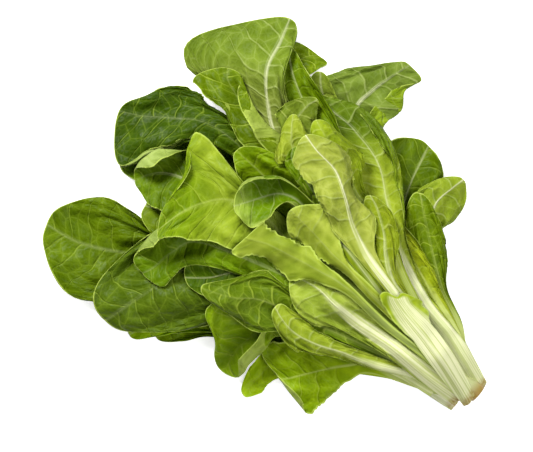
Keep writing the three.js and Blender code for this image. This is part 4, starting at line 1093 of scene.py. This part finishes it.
# Its young colour is painted dark green: painted shade where its petiole lies hidden under the other leaves.
lay_leaf(
    "inner_leaf_6", "pale", "back", thick=1.6, cap=0.02, dish=-2, ruffle=(1.2, 4, 2), crisp=1.5, ridge=0.12,
    white=30, back=(141, 160, 44), young=(116, 136, 16),
    rows=[
        [(28, 3.6), (28, 1.8), (28, 0)],
        [(70, 4.8), (70, 2.4), (70, 0)],
        [(100, 4), (100, 1), (100, -2)],
        [(118, 10), (119, 3), (120, -2.5)],
        [(136, 19), (138, 7), (140, -2)],
        [(154, 20), (156, 11), (158, 2)],
        [(172, 31), (169, 17), (168, 4)],
    ],
)
lay_leaf(
    "inner_leaf_7", "heart", "back", thick=1.5, cap=0.3, dish=-3, ruffle=(1.5, 4, 0), crisp=1.4, ridge=0.3,
    back=(138, 160, 23), young=(159, 177, 45),
    rows=[
        [(50, -11.6), (50, -14), (50, -16.4)],
        [(80, -22), (80, -26), (80, -30)],
        [(112, -36), (110, -42), (108, -48)],
        [(140, -42), (136, -48), (130, -52)],
        [(160, -50), (154, -58), (146, -68)],
        [(178, -54), (172, -62), (164, -71)],
        [(186, -60), (182, -66), (176, -74)],
    ],
)
lay_leaf(
    "inner_leaf_8", "heart", "back", thick=1.6, cap=0.35, dish=-2, ruffle=(1, 3, 0), crisp=1.7, ridge=0.7,
    white=84, back=(129, 147, 19), young=(153, 168, 41),
    rows=[
        [(46, -8.6), (46, -11), (46, -13.4)],
        [(60, -12), (60, -15), (60, -18)],
        [(84, -16), (84, -20), (82, -24)],
        [(100, -24), (97, -29), (92, -34)],
        [(112, -34), (106, -39), (97, -44)],
        [(126, -42), (118, -48), (108, -54)],
        [(134, -48), (127, -52), (120, -58)],
    ],
)
lay_leaf(
    "inner_leaf_9", "pale", "back", thick=2.2, cap=0.15, dish=-3, ruffle=(1.5, 4, 0), crisp=1.3,
    white=110, back=(149, 162, 56), young=(169, 182, 71),
    rows=[
        [(36, -2.2), (36, -5), (36, -7.8)],
        [(60, -7), (60, -10.5), (60, -14)],
        [(84, -13), (84, -17), (84, -20)],
        [(108, -17), (106, -22), (104, -28)],
        [(128, -20), (124, -30), (116, -43)],
        [(146, -27), (140, -41), (134, -46)],
        [(160, -34), (154, -49), (148, -58)],
        [(176, -34), (170, -51), (160, -64)],
        [(184, -44), (181, -54), (176, -62)],
    ],
)
lay_leaf(
    "inner_leaf_10", "pale", "back", thick=3, cap=0.05, dish=-1.5, ruffle=(1, 4, 0), crisp=0.5, ridge=0.3,
    white=104, core=10, pith=(180, 192, 104), back=(154, 176, 30),
    rows=[
        [(0, 9.6), (0, 7.4), (0, 5.2), (0, 2.6), (0, 0.2)],
        [(16, 7), (15.5, 4), (15, 0.8), (15, -2.6), (15, -6)],
        [(31, 4), (30.5, 0), (30, -3.5), (29.5, -7), (29, -11)],
        [(50, 0), (49.5, -4), (49, -8), (49, -12), (49, -16)],
        [(68, -2.5), (66, -6.5), (63, -10.5), (59, -15.5), (56, -20)],
        [(80, -5.5), (77.5, -9.5), (73, -13), (68.5, -16.5), (61, -20.5)],
        [(87, -8, 0.5), (84, -12.5, 1.6), (76.5, -14.5), (75, -19, 1.8), (63.5, -23.5, 0.5)],
    ],
)


# ---- The floor, the light and the camera ---------------------------------------------------------------
# A plain white surface under the head, a soft lamp at the side of the leaf tips with a weaker, broader one
# across from it, and a camera that looks straight down from over a metre away.

FLOOR = 3  # metres from the middle of the floor to its sides
floor_mesh = bpy.data.meshes.new("floor")
floor_mesh.from_pydata(
    [(-FLOOR, -FLOOR, 0), (FLOOR, -FLOOR, 0), (FLOOR, FLOOR, 0), (-FLOOR, FLOOR, 0)], [], [(0, 1, 2, 3)]
)
floor = bpy.data.objects.new("floor", floor_mesh)
bpy.context.scene.collection.objects.link(floor)
paper = bpy.data.materials.new("white paper")
paper.use_nodes = True
tree = paper.node_tree
tree.nodes.clear()
matt = node(tree, "BsdfDiffuse", {"Color": (0.86, 0.86, 0.86, 1)})
# The floor shows white to the camera, in gloss and through clear things, and still keeps the head's shadow.
glow = node(tree, "Emission", {"Strength": 0.68})
seen = node(tree, "LightPath").outputs
watched = maths(tree, "MAXIMUM", seen["Is Glossy Ray"], seen["Is Transmission Ray"])
watched = maths(tree, "MAXIMUM", seen["Is Camera Ray"], watched)
lit = node(tree, "AddShader", {0: matt.outputs[0], 1: glow.outputs[0]})
shown = node(tree, "MixShader", {0: watched, 1: matt.outputs[0], 2: lit.outputs[0]})
node(tree, "OutputMaterial", {0: shown.outputs[0]})
floor_mesh.materials.append(paper)

world = bpy.data.worlds.new("studio")
bpy.context.scene.world = world
world.use_nodes = True
world.node_tree.nodes["Background"].inputs["Color"].default_value = (1, 1, 1, 1)
world.node_tree.nodes["Background"].inputs["Strength"].default_value = 0.15


def lamp(name, place, size, power):
    """A square soft lamp, size metres wide, at place in metres from the head's middle and turned to it."""
    light = bpy.data.lights.new(name, "AREA")
    light.shape = "SQUARE"
    light.size = size
    light.energy = power
    lamp_object = bpy.data.objects.new(name, light)
    lamp_object.location = place
    x, y, z = place
    lamp_object.rotation_euler = (math.acos(z / np.linalg.norm(place)), 0, math.atan2(y, x) + math.pi / 2)
    bpy.context.scene.collection.objects.link(lamp_object)


lamp("key", place=(0.8, -0.25, 0.75), size=0.4, power=16.5)
lamp("fill", place=(-0.55, -0.1, 0.8), size=0.9, power=7.0)

VIEW_WIDTH = 0.330  # metres that the camera sees from side to side, at VIEW_HEIGHT
VIEW_HEIGHT = 0.02  # about the middle of the head
VIEW_CENTRE = (163.8, 3.1, 0)  # the point of the plan that it looks at, in millimetres
VIEW_TURN = 220  # degrees from +X round to the right of the view
camera = bpy.data.cameras.new("camera")
camera.lens = 140
camera.sensor_width = 36
camera.clip_end = 20
viewer = bpy.data.objects.new("camera", camera)
centre = (np.array(VIEW_CENTRE) + to_frame) / 1000
viewer.location = (centre[0], centre[1], VIEW_HEIGHT + VIEW_WIDTH * camera.lens / camera.sensor_width)
viewer.rotation_euler = (0, 0, math.radians(VIEW_TURN))
bpy.context.scene.collection.objects.link(viewer)
bpy.context.scene.camera = viewer
bpy.context.scene.view_settings.view_transform = "Standard"
